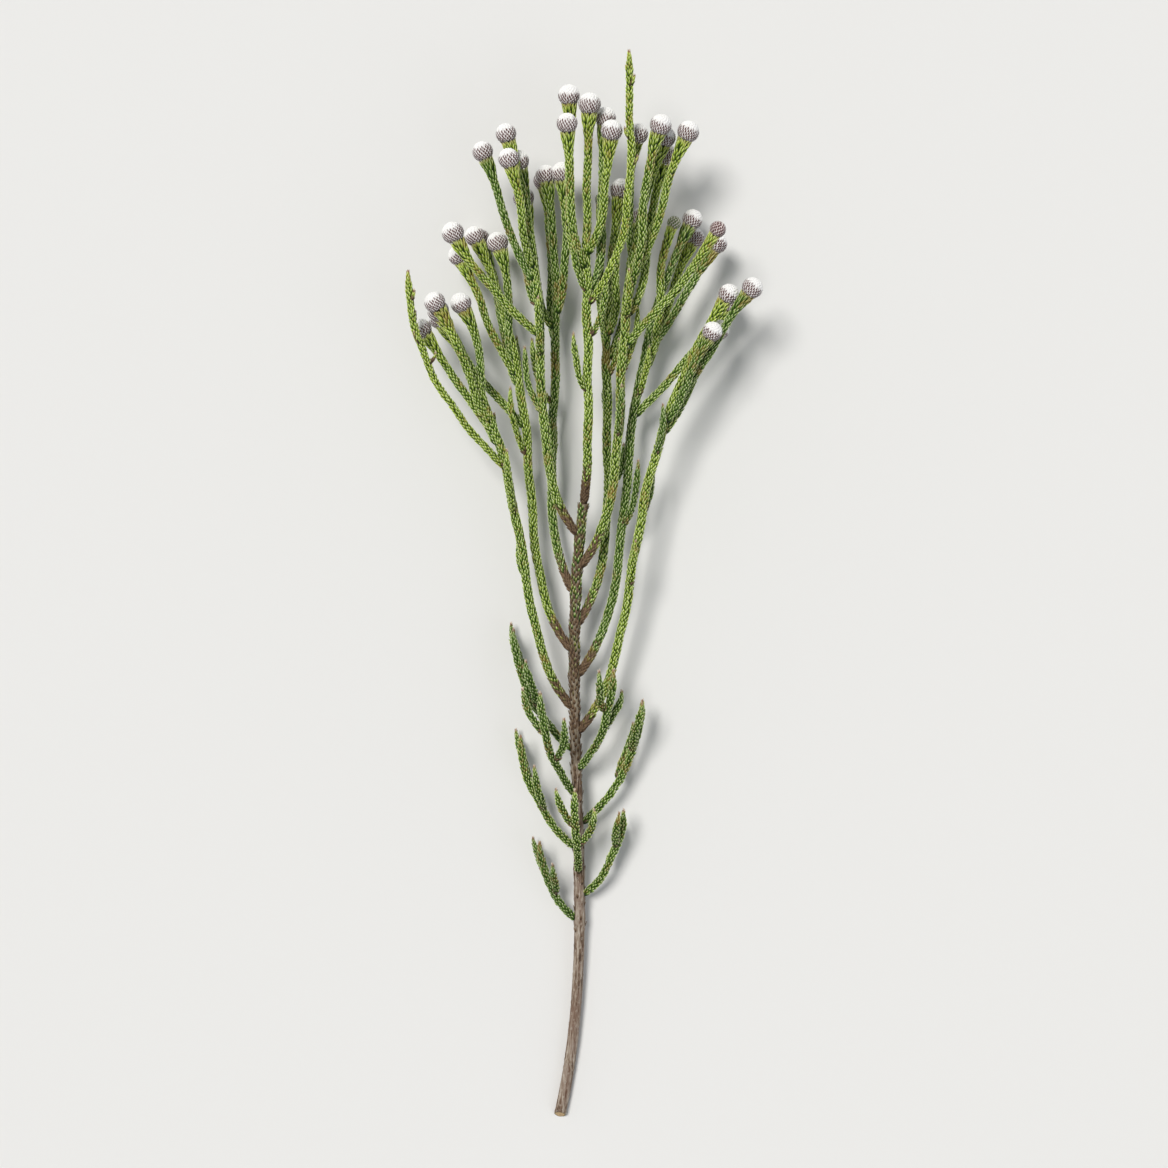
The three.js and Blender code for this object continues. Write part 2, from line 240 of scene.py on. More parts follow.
def make_floor():
    finish = Finish("pale_floor", {"Roughness": 0.7, "Specular IOR Level": 0.2})
    finish.give(base_color=FLOOR_COLOUR)
    turn = angles(FLOOR_SIDES)
    share = np.linspace(0, 1, FLOOR_RINGS)[:, None]
    out = FLOOR_FLAT + BOWL_OUT * share
    rings = gather(out * np.cos(turn), out * np.sin(turn), BOWL_UP * share**BOWL_STEEPENS)
    near = np.arange(FLOOR_SIDES)
    faces = [list(near)]
    for ring in range(FLOOR_RINGS - 1):
        a, b = near + ring * FLOOR_SIDES, np.roll(near, -1) + ring * FLOOR_SIDES
        faces += gather(a, a + FLOOR_SIDES, b + FLOOR_SIDES, b).tolist()
    mesh = bpy.data.meshes.new("floor")
    mesh.from_pydata(rings.reshape(-1, 3) * MM, [], faces)
    mesh.shade_smooth()
    mesh.materials.append(finish.material)
    new_object("floor", mesh)


make_floor()
print("floor reaches", round((FLOOR_FLAT + BOWL_OUT) * MM), "m out")

# %% [markdown]
# The light is a bright studio's: a broad lamp from the side that the heads point to, so their tops
# are bright and their undersides shaded, a weaker one from the right, and a white room all round.
# Both lamps are suns, which light near and far pieces alike. The plain view of colours keeps whites
# white.

# %% Lamps and room
ROOM_COLOUR = (0.93, 0.96, 1.0)
ROOM_LIGHT = 0.31
LAMPS = [
    dict(name="key", place=(-560, 760, 1700), spread=19, strength=2.75, colour=(1.0, 0.975, 0.94)),
    dict(name="fill", place=(800, -500, 900), spread=45, strength=0.3, colour=(0.92, 0.96, 1.0)),
]


def make_lamp(lamp):
    data = bpy.data.lights.new(lamp["name"], "SUN")
    data.angle = math.radians(lamp["spread"])
    data.energy = lamp["strength"]
    data.color = lamp["colour"]
    made = new_object(lamp["name"], data)
    made.location = Vector(lamp["place"]) * MM
    towards = AIM * MM - made.location
    made.rotation_euler = towards.to_track_quat("-Z", "Y").to_euler()


def make_room():
    room = bpy.data.worlds.new("room")
    room.use_nodes = True
    light = room.node_tree.nodes["Background"]
    light.inputs["Color"].default_value = (*ROOM_COLOUR, 1)
    light.inputs["Strength"].default_value = ROOM_LIGHT
    bpy.context.scene.world = room
    bpy.context.scene.view_settings.view_transform = "Standard"


for lamp in LAMPS:
    make_lamp(lamp)
make_room()
print("lamps:", [lamp["name"] for lamp in LAMPS])

# %% [markdown]
# Everything here grows along a bent line: the stem, the axis of a spray, each twig. A line drawn by
# hand would have to be drawn again for each of them. A cubic curve needs only where it starts,
# where it ends and the ways there, so one rule can set them all.

# %% Curves
GROWTH_SLOPE = 0.04
GROWTH = np.array([0.0, 1.0, GROWTH_SLOPE]) / math.hypot(1, GROWTH_SLOPE)  # twigs turn this way
STEM_BASE_RADIUS = 3.4
STEM_TOP_RADIUS = 2.2


def unit(rows):
    return rows / np.linalg.norm(rows, axis=-1, keepdims=True)


class Curve:
    """A cubic curve through two end points, shaped by the two points between them."""

    def __init__(self, *points):
        self.points = np.array(points, float)

    def at(self, t):
        t = np.asarray(t, float)[..., None]
        a, b, c, d = self.points
        return a * (1 - t) ** 3 + 3 * b * t * (1 - t) ** 2 + 3 * c * t * t * (1 - t) + d * t**3


def bend(start, first_way, end, last_way, pulls):
    """The curve that leaves start along first_way and reaches end along last_way.

    pulls says how far along these ways its middle points lie, as shares of the distance.
    """
    start, end = np.asarray(start, float), np.asarray(end, float)
    length = np.linalg.norm(end - start)
    second, third = start + first_way * length * pulls[0], end - last_way * length * pulls[1]
    return Curve(start, second, third, end)


STEM_CURVE = Curve((-12, -300, STEM_BASE_RADIUS * 0.85), (14, -180, 6), (-14, -60, 20), (2, 66, 31))
print("stem ends at", STEM_CURVE.at(1.0).round(1))

# %% [markdown]
# A Path cuts a curve into short equal steps and carries two side directions along it that don't
# twist, so leaves can be set round it. A twig is never quite even, so a slight sway is added, none
# at its two ends. It comes from a number that each twig has of its own, so every run gives the same
# twig.

# %% Paths
STEP = 1.0
CURVE_POINTS = 400
SWAY = 0.5
SWAY_LENGTH = 46.0
SWAY_VARIES = 0.4
JITTER_NUMBERS = (12.9898, 43758.5453)  # their only use is to be uneven


def jitter(k):
    """A repeatable number from -1 to 1 for each whole number k.

    What is added to k at each use keeps the numbers of one thing apart from those of another.
    """
    value = math.sin(k * JITTER_NUMBERS[0]) * JITTER_NUMBERS[1]
    return 2 * (value - math.floor(value)) - 1


def smooth(x):
    t = np.clip(x, 0, 1)
    return t * t * (3 - 2 * t)


class Path:
    """A line in equal steps, with side directions that don't twist."""

    def __init__(self, curve, sway=0.0, key=0):
        points = curve.at(np.linspace(0, 1, CURVE_POINTS))
        run = np.r_[0, np.cumsum(np.linalg.norm(np.diff(points, axis=0), axis=1))]
        self.length = run[-1]
        self.s = np.linspace(0, self.length, max(8, round(self.length / STEP)) + 1)
        self.middle = np.stack([np.interp(self.s, run, column) for column in points.T], axis=1)
        self.carry()
        if sway:
            share = np.sin(np.pi * self.s / self.length) * sway
            for k, side in enumerate((self.side, self.up)):
                waves = self.s / SWAY_LENGTH * (1 + SWAY_VARIES * jitter(key + k))
                turns = 2 * np.pi * (waves + jitter(key + 9 * k))
                self.middle = self.middle + side * (share * np.sin(turns))[:, None]
            self.carry()

    def carry(self):
        self.ahead = unit(np.gradient(self.middle, axis=0))
        side = np.cross(self.ahead[0], np.cross(self.ahead[0], (0, 0, 1)))
        sides = []
        for ahead in self.ahead:
            side = side - ahead * side.dot(ahead)
            side = side / np.linalg.norm(side)
            sides.append(side)
        self.side = np.array(sides)
        self.up = np.cross(self.ahead, self.side)

    def look_up(self, rows, s):
        return np.stack([np.interp(s, self.s, column) for column in rows.T], axis=-1)

    def point(self, s, angle=0.0, radius=0.0):
        """The points at s mm along, turned by angle round the line and radius mm away from it."""
        s, angle, radius = np.broadcast_arrays(s, angle, radius)
        ahead = self.look_up(self.ahead, s)
        beyond = s - np.clip(s, 0, self.length)
        around = (
            self.look_up(self.side, s) * np.cos(angle)[..., None]
            + self.look_up(self.up, s) * np.sin(angle)[..., None]
        )
        return self.look_up(self.middle, s) + ahead * beyond[..., None] + around * radius[..., None]

    def from_end(self, s, start, over):
        """0 until start mm before the end, 1 from over mm later on, and smooth between."""
        return smooth((s - self.length + start) / over)


STEM = Path(STEM_CURVE)
print("stem is", round(STEM.length), "mm long")

# %% [markdown]
# A piece is gathered from patches: arrays of points and triangles, with two sets of three numbers
# at each point that the finish reads, and a place on a flat map. Each leaf or floret has its own
# small square of that map, so the colours of one never run into the next. Arrays make thousands of
# leaves in the time that loops would need for ten.


# %% Patches
class Patch:
    """Points and triangles. spot is a point's place on its leaf or floret, mood how that looks."""

    def __init__(self, points, faces, spot, mood, flat, cell):
        self.points = np.asarray(points, float)
        self.faces = np.asarray(faces, int)
        count = len(self.points)
        self.spot, self.mood = (np.broadcast_to(kept, (count, 3)) for kept in (spot, mood))
        self.flat = np.broadcast_to(flat, (count, 2))
        self.cell = np.broadcast_to(cell, (count,))


def join(patches):
    """One patch of many. Its triangles and cells count on from each patch to the next."""
    first_points = np.cumsum([0] + [len(patch.points) for patch in patches])
    first_cells = np.cumsum([0] + [patch.cell.max() + 1 for patch in patches])
    faces = [patch.faces + first for patch, first in zip(patches, first_points)]
    cells = [patch.cell + first for patch, first in zip(patches, first_cells)]
    names = ("points", "spot", "mood", "flat")
    points, spot, mood, flat = ([getattr(patch, name) for patch in patches] for name in names)
    return Patch(*map(np.concatenate, (points, faces, spot, mood, flat, cells)))


print("patches can be joined")

# %% Pieces
ORIGIN = np.array([-2.25, -4.11, 0.0])  # the frame's origin is under the middle of the whole stem
FLOOR_ROOM = 0.02  # nothing reaches below this height
SHARP = math.radians(58)
CELL_EDGE = 0.06  # kept free round each cell of the flat map


def make_piece(name, patches, finish, replaced=None):
    whole = join(patches)
    points = whole.points + ORIGIN
    points[:, 2] = np.maximum(points[:, 2], FLOOR_ROOM)
    corners = whole.faces.ravel()
    mesh = bpy.data.meshes.new(name)
    mesh.vertices.add(len(points))
    mesh.vertices.foreach_set("co", (points * MM).ravel())
    mesh.loops.add(len(corners))
    mesh.loops.foreach_set("vertex_index", corners)
    mesh.polygons.add(len(whole.faces))
    mesh.polygons.foreach_set("loop_start", np.arange(0, len(corners), 3))
    mesh.polygons.foreach_set("use_smooth", np.ones(len(whole.faces), bool))
    mesh.update(calc_edges=True)
    for key, numbers in (("spot", whole.spot), ("mood", whole.mood)):
        kept = mesh.attributes.new(key, "FLOAT_VECTOR", "POINT")
        kept.data.foreach_set("vector", np.ascontiguousarray(numbers, float).ravel())
    if whole.flat.any():
        squares = math.ceil(math.sqrt(whole.cell.max() + 1))
        corner_of = gather(whole.cell % squares, whole.cell // squares)
        places = (corner_of + CELL_EDGE + (1 - 2 * CELL_EDGE) * whole.flat) / squares
        flat_map = mesh.uv_layers.new(name="OFBake")
        flat_map.uv.foreach_set("vector", places[corners].ravel())
    mesh.set_sharp_from_angle(angle=SHARP)
    mesh.materials.append(finish.material)
    piece = new_object(name, mesh)
    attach(piece, "root")
    if replaced:
        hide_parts(replaced)
    return piece


print("pieces can be made")


# %% Tubes and copies
def sleeve(rings, start, end):
    """Points and triangles of a closed tube: rings of points, and one point at each end."""
    count, sides = rings.shape[:2]
    points = np.concatenate([rings.reshape(-1, 3), [start, end]])
    ring, side = np.meshgrid(np.arange(count - 1), np.arange(sides), indexing="ij")
    a, b = ring * sides + side, ring * sides + (side + 1) % sides
    walls = gather(a, b, b + sides, a, b + sides, a + sides).reshape(-1, 3)
    near, far = np.arange(sides), (count - 1) * sides + np.arange(sides)
    near_cap = gather(count * sides, np.roll(near, -1), near)
    far_cap = gather(count * sides + 1, far, np.roll(far, -1))
    return points, np.concatenate([walls, near_cap, far_cap])


def copies(faces, corners, count):
    """The triangles of count equal bodies with this many corners each."""
    return (faces + corners * np.arange(count)[:, None, None]).reshape(-1, 3)


print("tubes and copies can be made")

# %% [markdown]
# The woody stem is grey-brown bark, cut at a slant. Bark isn't smooth: it has long shallow furrows,
# rings where a season's growth ended, small humps where leaves fell, and a swelling wherever a
# branch leaves. All of that is moved in the mesh itself, so it shows from any side and in the
# exported piece. The first rings of points shrink over the slanting cut to its middle.

# %% Where branches leave the stem
SPRAY_FEET = (1, 0.95, 0.9, 0.86, 0.81, 0.77, 0.73, 0.68, 0.64)  # as shares of the stem
SIDE_TWIG_FEET = (0.33, 0.37, 0.41, 0.45, 0.49, 0.54, 0.58, 0.61)
STEM_SWELLING = 0.45
SWELLING_REACH = 0.025


def stem_radius(share):
    """The stem's even radius at a share of its length, thicker where a branch leaves."""
    off = np.abs(np.asarray(share)[..., None] - np.array(SPRAY_FEET + SIDE_TWIG_FEET))
    swelling = STEM_SWELLING * smooth(1 - off.min(axis=-1) / SWELLING_REACH)
    return STEM_BASE_RADIUS + (STEM_TOP_RADIUS - STEM_BASE_RADIUS) * share + swelling


print("branches:", len(SPRAY_FEET), "sprays and", len(SIDE_TWIG_FEET), "side twigs")

# %% Relief of the bark
BARK_NOISES = ((1.9, 0.055, 0.8), (7.5, 0.12, 0.6))  # how fine round and along, and how high
SCARS = 23
SCAR_WIDTH = 0.9
SCAR_GROOVE = 0.6
SCAR_VARIES = 0.4
LEAF_MARKS = 520
MARK_LENGTH = 0.75
MARK_WIDTH = 0.62
MARK_VARIES = 0.45
GOLDEN_ANGLE = math.pi * (3 - math.sqrt(5))  # from one leaf to the next round a stem


def bark_height(s, angle):
    """How far the bark stands out here, about -1 to 1: long furrows and fine cracks."""
    return sum(
        high * noise.noise(Vector((fine * math.cos(angle), fine * math.sin(angle), s * along)))
        for fine, along, high in BARK_NOISES
    )


def scar_height(stations):
    """The ring scars: a low ridge with a groove to each side."""
    scars = [STEM.length * (k + 0.5 + SCAR_VARIES * jitter(k)) / SCARS for k in range(SCARS)]
    off = np.min(np.abs(stations[:, None] - scars), axis=1) / SCAR_WIDTH
    return np.exp(-off * off) - SCAR_GROOVE * np.exp(-((off - 2) ** 2))


def leaf_marks(stations, angle):
    """0 to 1 for each point of the bark: 1 in the middle of the mark that a fallen leaf left."""
    s, a = np.meshgrid(stations, angle, indexing="ij")
    marks = np.zeros(s.shape)
    for k in range(LEAF_MARKS):
        mark_s = STEM.length * (k + 0.5) / LEAF_MARKS
        near = np.abs(stations - mark_s) < 3 * MARK_LENGTH
        off = (a[near] - k * GOLDEN_ANGLE + np.pi) % (2 * np.pi) - np.pi
        off = (off * STEM_BASE_RADIUS / MARK_WIDTH) ** 2 + ((s[near] - mark_s) / MARK_LENGTH) ** 2
        strength = 1 - MARK_VARIES + MARK_VARIES * jitter(k)
        marks[near] = np.maximum(marks[near], strength * np.exp(-off))
    return marks


print("on the bark:", SCARS, "ring scars and", LEAF_MARKS, "leaf marks")

# %% Stem mesh
STEM_SIDES = 44
STEM_RING = 0.75
CUT_SLOPE = -0.8  # below zero, the cut's face is turned up
CUT_REACH = 6.0
CUT_RINGS = np.array([0.12, 0.25, 0.4, 0.55, 0.7, 0.82, 0.9, 0.96])
FURROW = 0.17
SCAR_HEIGHT = 0.13
MARK_HEIGHT = 0.12


def stem_patch():
    stations = np.linspace(0, STEM.length, round(STEM.length / STEM_RING) + 1)
    angle = angles(STEM_SIDES)
    heights = np.array([[bark_height(s, a) for a in angle] for s in stations])
    marks = leaf_marks(stations, angle)
    relief = FURROW * heights + SCAR_HEIGHT * scar_height(stations)[:, None] + MARK_HEIGHT * marks
    radius = stem_radius(stations / STEM.length)[:, None] + relief
    at_cut = np.clip(1 - stations / CUT_REACH, 0, 1)[:, None]
    lean = CUT_SLOPE * radius * np.cos(angle) * at_cut
    rings = STEM.point(stations[:, None] + lean, angle, radius)
    rings[..., 2] = np.maximum(rings[..., 2], FLOOR_ROOM)
    middle = STEM.point(0.0)
    cut = middle + CUT_RINGS[:, None, None] * (rings[0] - middle)
    points, faces = sleeve(np.concatenate([cut, rings]), middle, STEM.point(STEM.length))
    out = np.r_[np.repeat(np.r_[CUT_RINGS, np.ones(len(stations))], STEM_SIDES), 0, 1]
    no_bark = np.zeros(len(CUT_RINGS) * STEM_SIDES)
    high = np.r_[no_bark, heights.ravel(), 0, 0]
    mark = np.r_[no_bark, marks.ravel(), 0, 0]
    share = np.r_[no_bark, np.repeat(stations, STEM_SIDES), 0, STEM.length] / STEM.length
    return Patch(points, faces, gather(out, high, share), gather(mark, 0, 0), (0, 0), 0)


BARE_STEM = stem_patch()
print("stem points:", len(BARE_STEM.points))

# %% [markdown]
# Bark is brown, weathers to grey on its ridges and is red-brown in patches. The height kept in the
# mesh tells ridges from furrows, and two noises stretched along the stem give its streaks and fine
# fibres. Towards the crown it is still partly green. Every leaf that fell left a faint mark: a dark
# spot with a pale rim. The cut shows a small dark pith, pale wood with faint year rings, a thin
# green-brown line and the bark round it.

# %% Bark finish
BARK_FURROW = (0.050, 0.030, 0.020)
BARK_BROWN = (0.155, 0.100, 0.066)
BARK_GREY = (0.33, 0.275, 0.22)
BARK_PALE = (0.52, 0.47, 0.40)
BARK_RED = (0.125, 0.062, 0.040)
BARK_GREEN = (0.13, 0.14, 0.05)
PITH = (0.20, 0.10, 0.045)
WOOD = (0.62, 0.45, 0.26)
WOOD_RING = (0.46, 0.30, 0.15)
UNDER_BARK = (0.17, 0.16, 0.05)


def make_bark():
    finish = Finish("bark", {"Specular IOR Level": 0.25})
    out, high, share = finish.read("spot")
    mark = finish.read("mood")[0]
    grain = finish.grain(1.1, detail=4.0, stretch=(1, 0.07, 1))
    fibres = finish.grain(0.45, detail=3.0, stretch=(1, 0.12, 1))
    patches = finish.grain(12.0, detail=3.0)
    ridge = grain * 1.1 + fibres * 0.7 + patches * 0.8 + high * 0.3 - 0.8
    tones = (BARK_FURROW, BARK_BROWN, BARK_GREY, BARK_PALE)
    bark = finish.ramp(ridge, list(zip((0.18, 0.40, 0.62, 0.95), tones)))
    bark = finish.mix(patches.between(0.5, 0.68) * 0.55, bark, BARK_RED)
    bark = finish.mix(mark.between(0.12, 0.35) * 0.3, bark, BARK_PALE)
    bark = finish.mix(mark.between(0.4, 0.85) * 0.7, bark, BARK_FURROW)
    young = share.between(0.45, 1.0) * patches.between(0.3, 0.65) * 0.7
    bark = finish.mix(young, bark, BARK_GREEN)
    year = (out * 26.0).sine() * 0.5 + 0.5
    wood = finish.mix(year * 0.5 + grain * 0.4, WOOD, WOOD_RING)
    wood = finish.mix(out.between(0.17, 0.09), wood, PITH)
    wood = finish.mix(out.between(0.8, 0.86), wood, UNDER_BARK)
    finish.give(base_color=finish.mix(out.between(0.9, 0.95), wood, bark))
    finish.give(roughness=0.72 + grain * 0.25)
    finish.give(normal=finish.bump(grain * 0.5 + fibres * 0.5, 0.25))
    return finish


BARK = make_bark()
stem_piece = make_piece("woody_stem", [BARE_STEM], BARK, "woody_stem")
print("stem triangles:", len(stem_piece.data.polygons))

# %% [markdown]
# A scale leaf is 3 to 4 mm long and less than 2 mm wide. Its foot clasps the twig, its back has a
# low keel, and its tip curves in again over the feet of the next ones. Here it is a closed little
# body of three cross sections and a tip. Its place on the twig is worked out for each section by
# itself, so the leaf follows a bent twig. Set round the twig by the golden angle, leaves fall into
# the crossing rows that make it look braided.

# %% The shape of a leaf
LEAF_LENGTH = 3.6
LEAF_WIDTH = 1.56
SECTIONS = np.array([0.0, 0.42, 0.76])  # along a leaf
SECTION_WIDTH = np.array([0.66, 1.0, 0.62])
KEEL_LIFT = np.array([0.02, 0.50, 0.72])  # mm off the twig
EDGE_LIFT = np.array([-0.1, 0.06, 0.30])
TIP_LIFT = 0.72


def leaf_faces():
    """The triangles of one leaf: the foot, three walls between sections and the tip."""
    faces = [(0, 2, 1)]
    for section in range(len(SECTIONS) - 1):
        for k in range(3):
            a, b = section * 3 + k, section * 3 + (k + 1) % 3
            faces += [(a, b, b + 3), (a, b + 3, a + 3)]
    last, tip = 3 * (len(SECTIONS) - 1), 3 * len(SECTIONS)
    faces += [(last + k, last + (k + 1) % 3, tip) for k in range(3)]
    return np.array(faces)


LEAF_FACES = leaf_faces()
LEAF_POINTS = 3 * len(SECTIONS) + 1
print("leaf triangles:", len(LEAF_FACES))

# %% Where leaves stand
LEAF_CELL = 2.6  # mm2 of a twig's surface for each leaf
LEAF_THICK = 0.35  # how far leaves stand round the twig, on average
SLIMMER = 0.8  # the power by which leaves longer than usual are slimmer again
FEET_STEP = 0.25


def slimness(length):
    return np.minimum(1, LEAF_LENGTH / length) ** SLIMMER


def leaf_feet(start, stop, core_at, length_at, cover=np.ones_like):
    """Where leaves stand along a twig: as many on each mm as its girth and their size ask for."""
    s = np.arange(start, stop, FEET_STEP)
    girth = 2 * np.pi * (core_at(s) + LEAF_THICK)
    cell = LEAF_CELL * length_at(s) / LEAF_LENGTH * slimness(length_at(s))
    total = np.cumsum(girth / cell * cover(s)) * FEET_STEP
    return np.interp(np.arange(0.5, total[-1]), total, s)


print("leaves on a square cm of twig:", round(100 / LEAF_CELL))

# %% Leaves on a twig
WIDTH_GROWS = 0.4  # the power of its length by which a leaf's width grows
CLOSES = 1.5  # the power by which leaves lie closer where the twig narrows
LENGTHS = (0.86, 1.14)  # each leaf's own share of the usual length, width and lift
WIDTHS = (0.88, 1.1)
LIFTS = (0.75, 1.3)
UNEVEN_TURN = 0.11
UNEVEN_SIDE = 0.12


def leaves(path, feet, core_at, length_at, key, mood_at, lift=1.0, width=LEAF_WIDTH):
    """One patch with a leaf at each foot. lift is how far they stand off, 1 for the usual."""
    chance = np.random.default_rng(key)
    count = len(feet)
    turn = np.arange(count) * GOLDEN_ANGLE + chance.normal(0, UNEVEN_TURN, count)
    length = length_at(feet) * chance.uniform(*LENGTHS, count)
    wide = width * (length / LEAF_LENGTH) ** WIDTH_GROWS * slimness(length)
    wide = wide * chance.uniform(*WIDTHS, count)
    closing = np.minimum(1, core_at(feet + length) / core_at(feet)) ** CLOSES
    proud = lift * chance.uniform(*LIFTS, count) * closing
    aside = chance.normal(0, UNEVEN_SIDE, count)
    s = feet[:, None] + length[:, None] * SECTIONS
    core = core_at(s)
    half = wide[:, None] / 2 * SECTION_WIDTH
    centre = turn[:, None] + aside[:, None] * SECTIONS / np.maximum(core, 1)
    angle = gather(centre - half / core, centre, centre + half / core)
    edge = core + EDGE_LIFT * proud[:, None]
    radius = gather(edge, core + KEEL_LIFT * proud[:, None], edge)
    body = path.point(s[..., None], angle, radius).reshape(count, -1, 3)
    tip_s = feet + length
    tip = path.point(tip_s, turn + aside / core[:, -1], core_at(tip_s) + TIP_LIFT * proud)
    points = np.concatenate([body, tip[:, None]], axis=1).reshape(-1, 3)
    faces = copies(LEAF_FACES, LEAF_POINTS, count)
    across = np.tile(np.r_[np.tile([-1.0, 0.0, 1.0], len(SECTIONS)), 0.0], count)
    along = np.tile(np.r_[np.repeat(SECTIONS, 3), 1.0], count)
    each = np.repeat(chance.uniform(0, 1, count), LEAF_POINTS)
    cell = np.repeat(np.arange(count), LEAF_POINTS)
    mood = np.repeat(mood_at(feet), LEAF_POINTS, axis=0)
    flat = gather(across * 0.5 + 0.5, along)
    return Patch(points, faces, gather(across, along, each), mood, flat, cell)


print("leaves can be set")

# %% The twig under its leaves
CORE = 0.83  # the twig inside its leaves, as a share of the leafy radius
CORE_SIDES = 8
CORE_STEP = 2.5
CORE_SUNK = 0.04


def twig_core(path, core_at, mood_at):
    """The twig under its leaves."""
    stations = np.linspace(0, path.length, max(4, round(path.length / CORE_STEP)) + 1)
    angle = angles(CORE_SIDES)
    rings = path.point(stations[:, None], angle, core_at(stations)[:, None] - CORE_SUNK)
    points, faces = sleeve(rings, path.point(0.0), path.point(path.length))
    along = np.r_[np.repeat(stations, CORE_SIDES), 0, path.length]
    fold = 1 - np.abs(np.r_[np.tile(angle, len(stations)), 0, 0] / np.pi - 1)
    flat = gather(fold, along / path.length)
    # Its spot is that of a leaf's foot, so the twig under the leaves is painted in the dark leaf
    # shade.
    return Patch(points, faces, (0, 0.05, 0.5), mood_at(along), flat, 0)


print("a twig has", CORE_SIDES, "sides")

# %% [markdown]
# Scale leaves are painted dark green at the foot and along their edges, as the shade where each
# lies under the next, and they are yellower along the back. The very tip is pale, partly as a
# painted highlight, and the same pale colour runs down the keel as a painted highlight. Twigs
# differ: some are fresh yellow-green and some dark. Under a head the collar is bright, with tan
# leaf tips. At the end of a shoot the leaves turn brown and then cream. Old leaves near the wood
# are dry and brown. The mesh keeps, for each point, where it is on its leaf and how fresh, how
# bright and how dry that leaf is. Brightness above 1 stands for the two tips.

# %% Leaf finish
# The darkest green is painted shade: at a leaf's foot and edges, and on the twig under the leaves.
LEAF_SHADE = (0.014, 0.034, 0.004)
LEAF_GREEN = (0.075, 0.160, 0.008)
LEAF_LIGHT = (0.34, 0.50, 0.065)
# The pale tip colour is partly a painted highlight, and it also paints the highlight along each
# keel.
LEAF_TIP_AND_HIGHLIGHT = (0.98, 1.0, 0.66)
FRESH = (0.47, 0.60, 0.06)
COOL = (0.085, 0.170, 0.030)
RUSTY = (0.32, 0.16, 0.05)
PALE_TIP = (0.66, 0.54, 0.44)
BROWN_TIP = (0.22, 0.115, 0.075)
DRY = (0.062, 0.036, 0.022)
DRY_LIGHT = (0.32, 0.215, 0.125)


def make_leaf_finish():
    finish = Finish("scale_leaf", {"Specular IOR Level": 0.2})
    across, along, each = finish.read("spot")
    fresh, bright, dry = finish.read("mood")
    mottle = finish.grain(2.6, detail=3.0)
    stretches = finish.grain(16.0, detail=1.0)
    edge = abs(across)
    tones = (LEAF_SHADE, LEAF_GREEN, LEAF_LIGHT, LEAF_TIP_AND_HIGHLIGHT)
    # The ramp paints shade at a leaf's foot and a pale tip that is partly a painted highlight.
    green = finish.ramp(along, list(zip((0.25, 0.55, 0.86, 1.0), tones)))
    # Painted shade along the edges, where leaves lie under their neighbours.
    green = finish.mix(edge.between(0.4, 1.0) * (0.68 - bright * 0.1), green, LEAF_SHADE)
    cool = (0.5 - fresh + mottle * 0.4 - 0.2).between(0.0, 0.6) * 0.7
    green = finish.mix(cool * along.between(0.3, 0.7), green, COOL)
    yellow = fresh * 0.8 + each * 0.25 + bright * 0.4 + mottle * 0.3 - 0.55
    green = finish.mix(yellow.between(0.0, 0.8) * along.between(0.3, 0.8), green, FRESH)
    # A painted highlight along the keel, in the pale tip colour.
    keel_highlight = edge.between(0.42, 0.1) * along.between(0.45, 0.85)
    green = finish.mix(keel_highlight * (0.4 + each * 0.5), green, LEAF_TIP_AND_HIGHLIGHT)
    tip = finish.mix(bright.between(1.4, 1.75), BROWN_TIP, PALE_TIP)
    green = finish.mix(bright.between(0.9, 1.4) * along.between(0.2, 0.7), green, tip)
    rust = (stretches + each * 0.3 + along * 0.2).between(0.85, 1.08) * 0.5
    green = finish.mix(rust, green, RUSTY)
    brown = finish.mix(along * 0.9 + mottle * 0.6 - 0.5, DRY, DRY_LIGHT)
    withered = (dry - each * 0.6 + mottle * 0.3 - 0.3).between(0.0, 0.25)
    finish.give(base_color=finish.mix(withered, green, brown))
    finish.give(roughness=0.44 + dry * 0.3 + mottle * 0.14)
    finish.give(normal=finish.bump(finish.grain(0.5, detail=1.0), 0.05))
    return finish


LEAF = make_leaf_finish()
print("leaf finish has", len(LEAF.tree.nodes), "nodes")

# %% [markdown]
# Twigs come in two kinds. One carries a head, so it widens over its last 17 mm into a green collar
# with longer, straighter leaves that end just under the ball. The other narrows to a tip, where the
# leaves lie closer. A mood function says for any place along the twig how fresh, how bright and how
# dry its leaves are.

# %% Twigs that carry a head
AXIS_RADIUS = 2.3
TWIG_RADIUS = 1.95
FORK_STEP = 7.0
COLLAR_LENGTH = 17.0
COLLAR_FLARE = 1.6
COLLAR_LEAF = 5.6
COLLAR_LEAF_GROWS = 11.0  # the stretch over which leaves get to that length
COLLAR_OVER = 1.0  # how far the last leaves reach past the seat
COLLAR_HUG = 0.5  # how deep the twig under those tips would lie in the ball
SHORTEST_LEAF = 2.6
BRIGHT_LENGTH = 29.0
BRIGHT_GROWS = 22.0
COLLAR_BRIGHT = 0.85
TAN_LENGTH = 8.0  # under a head, the leaf tips are tan over this length
TAN_BRIGHT = 0.38
DRY_FOOT = 38.0
HEAD_SEAT = 0.54  # the seat's radius, as a share of the ball's
GAP = 0.3


def above_seat(radius):
    """How far a head's middle lies above its seat."""
    return radius * math.sqrt(1 - HEAD_SEAT**2)


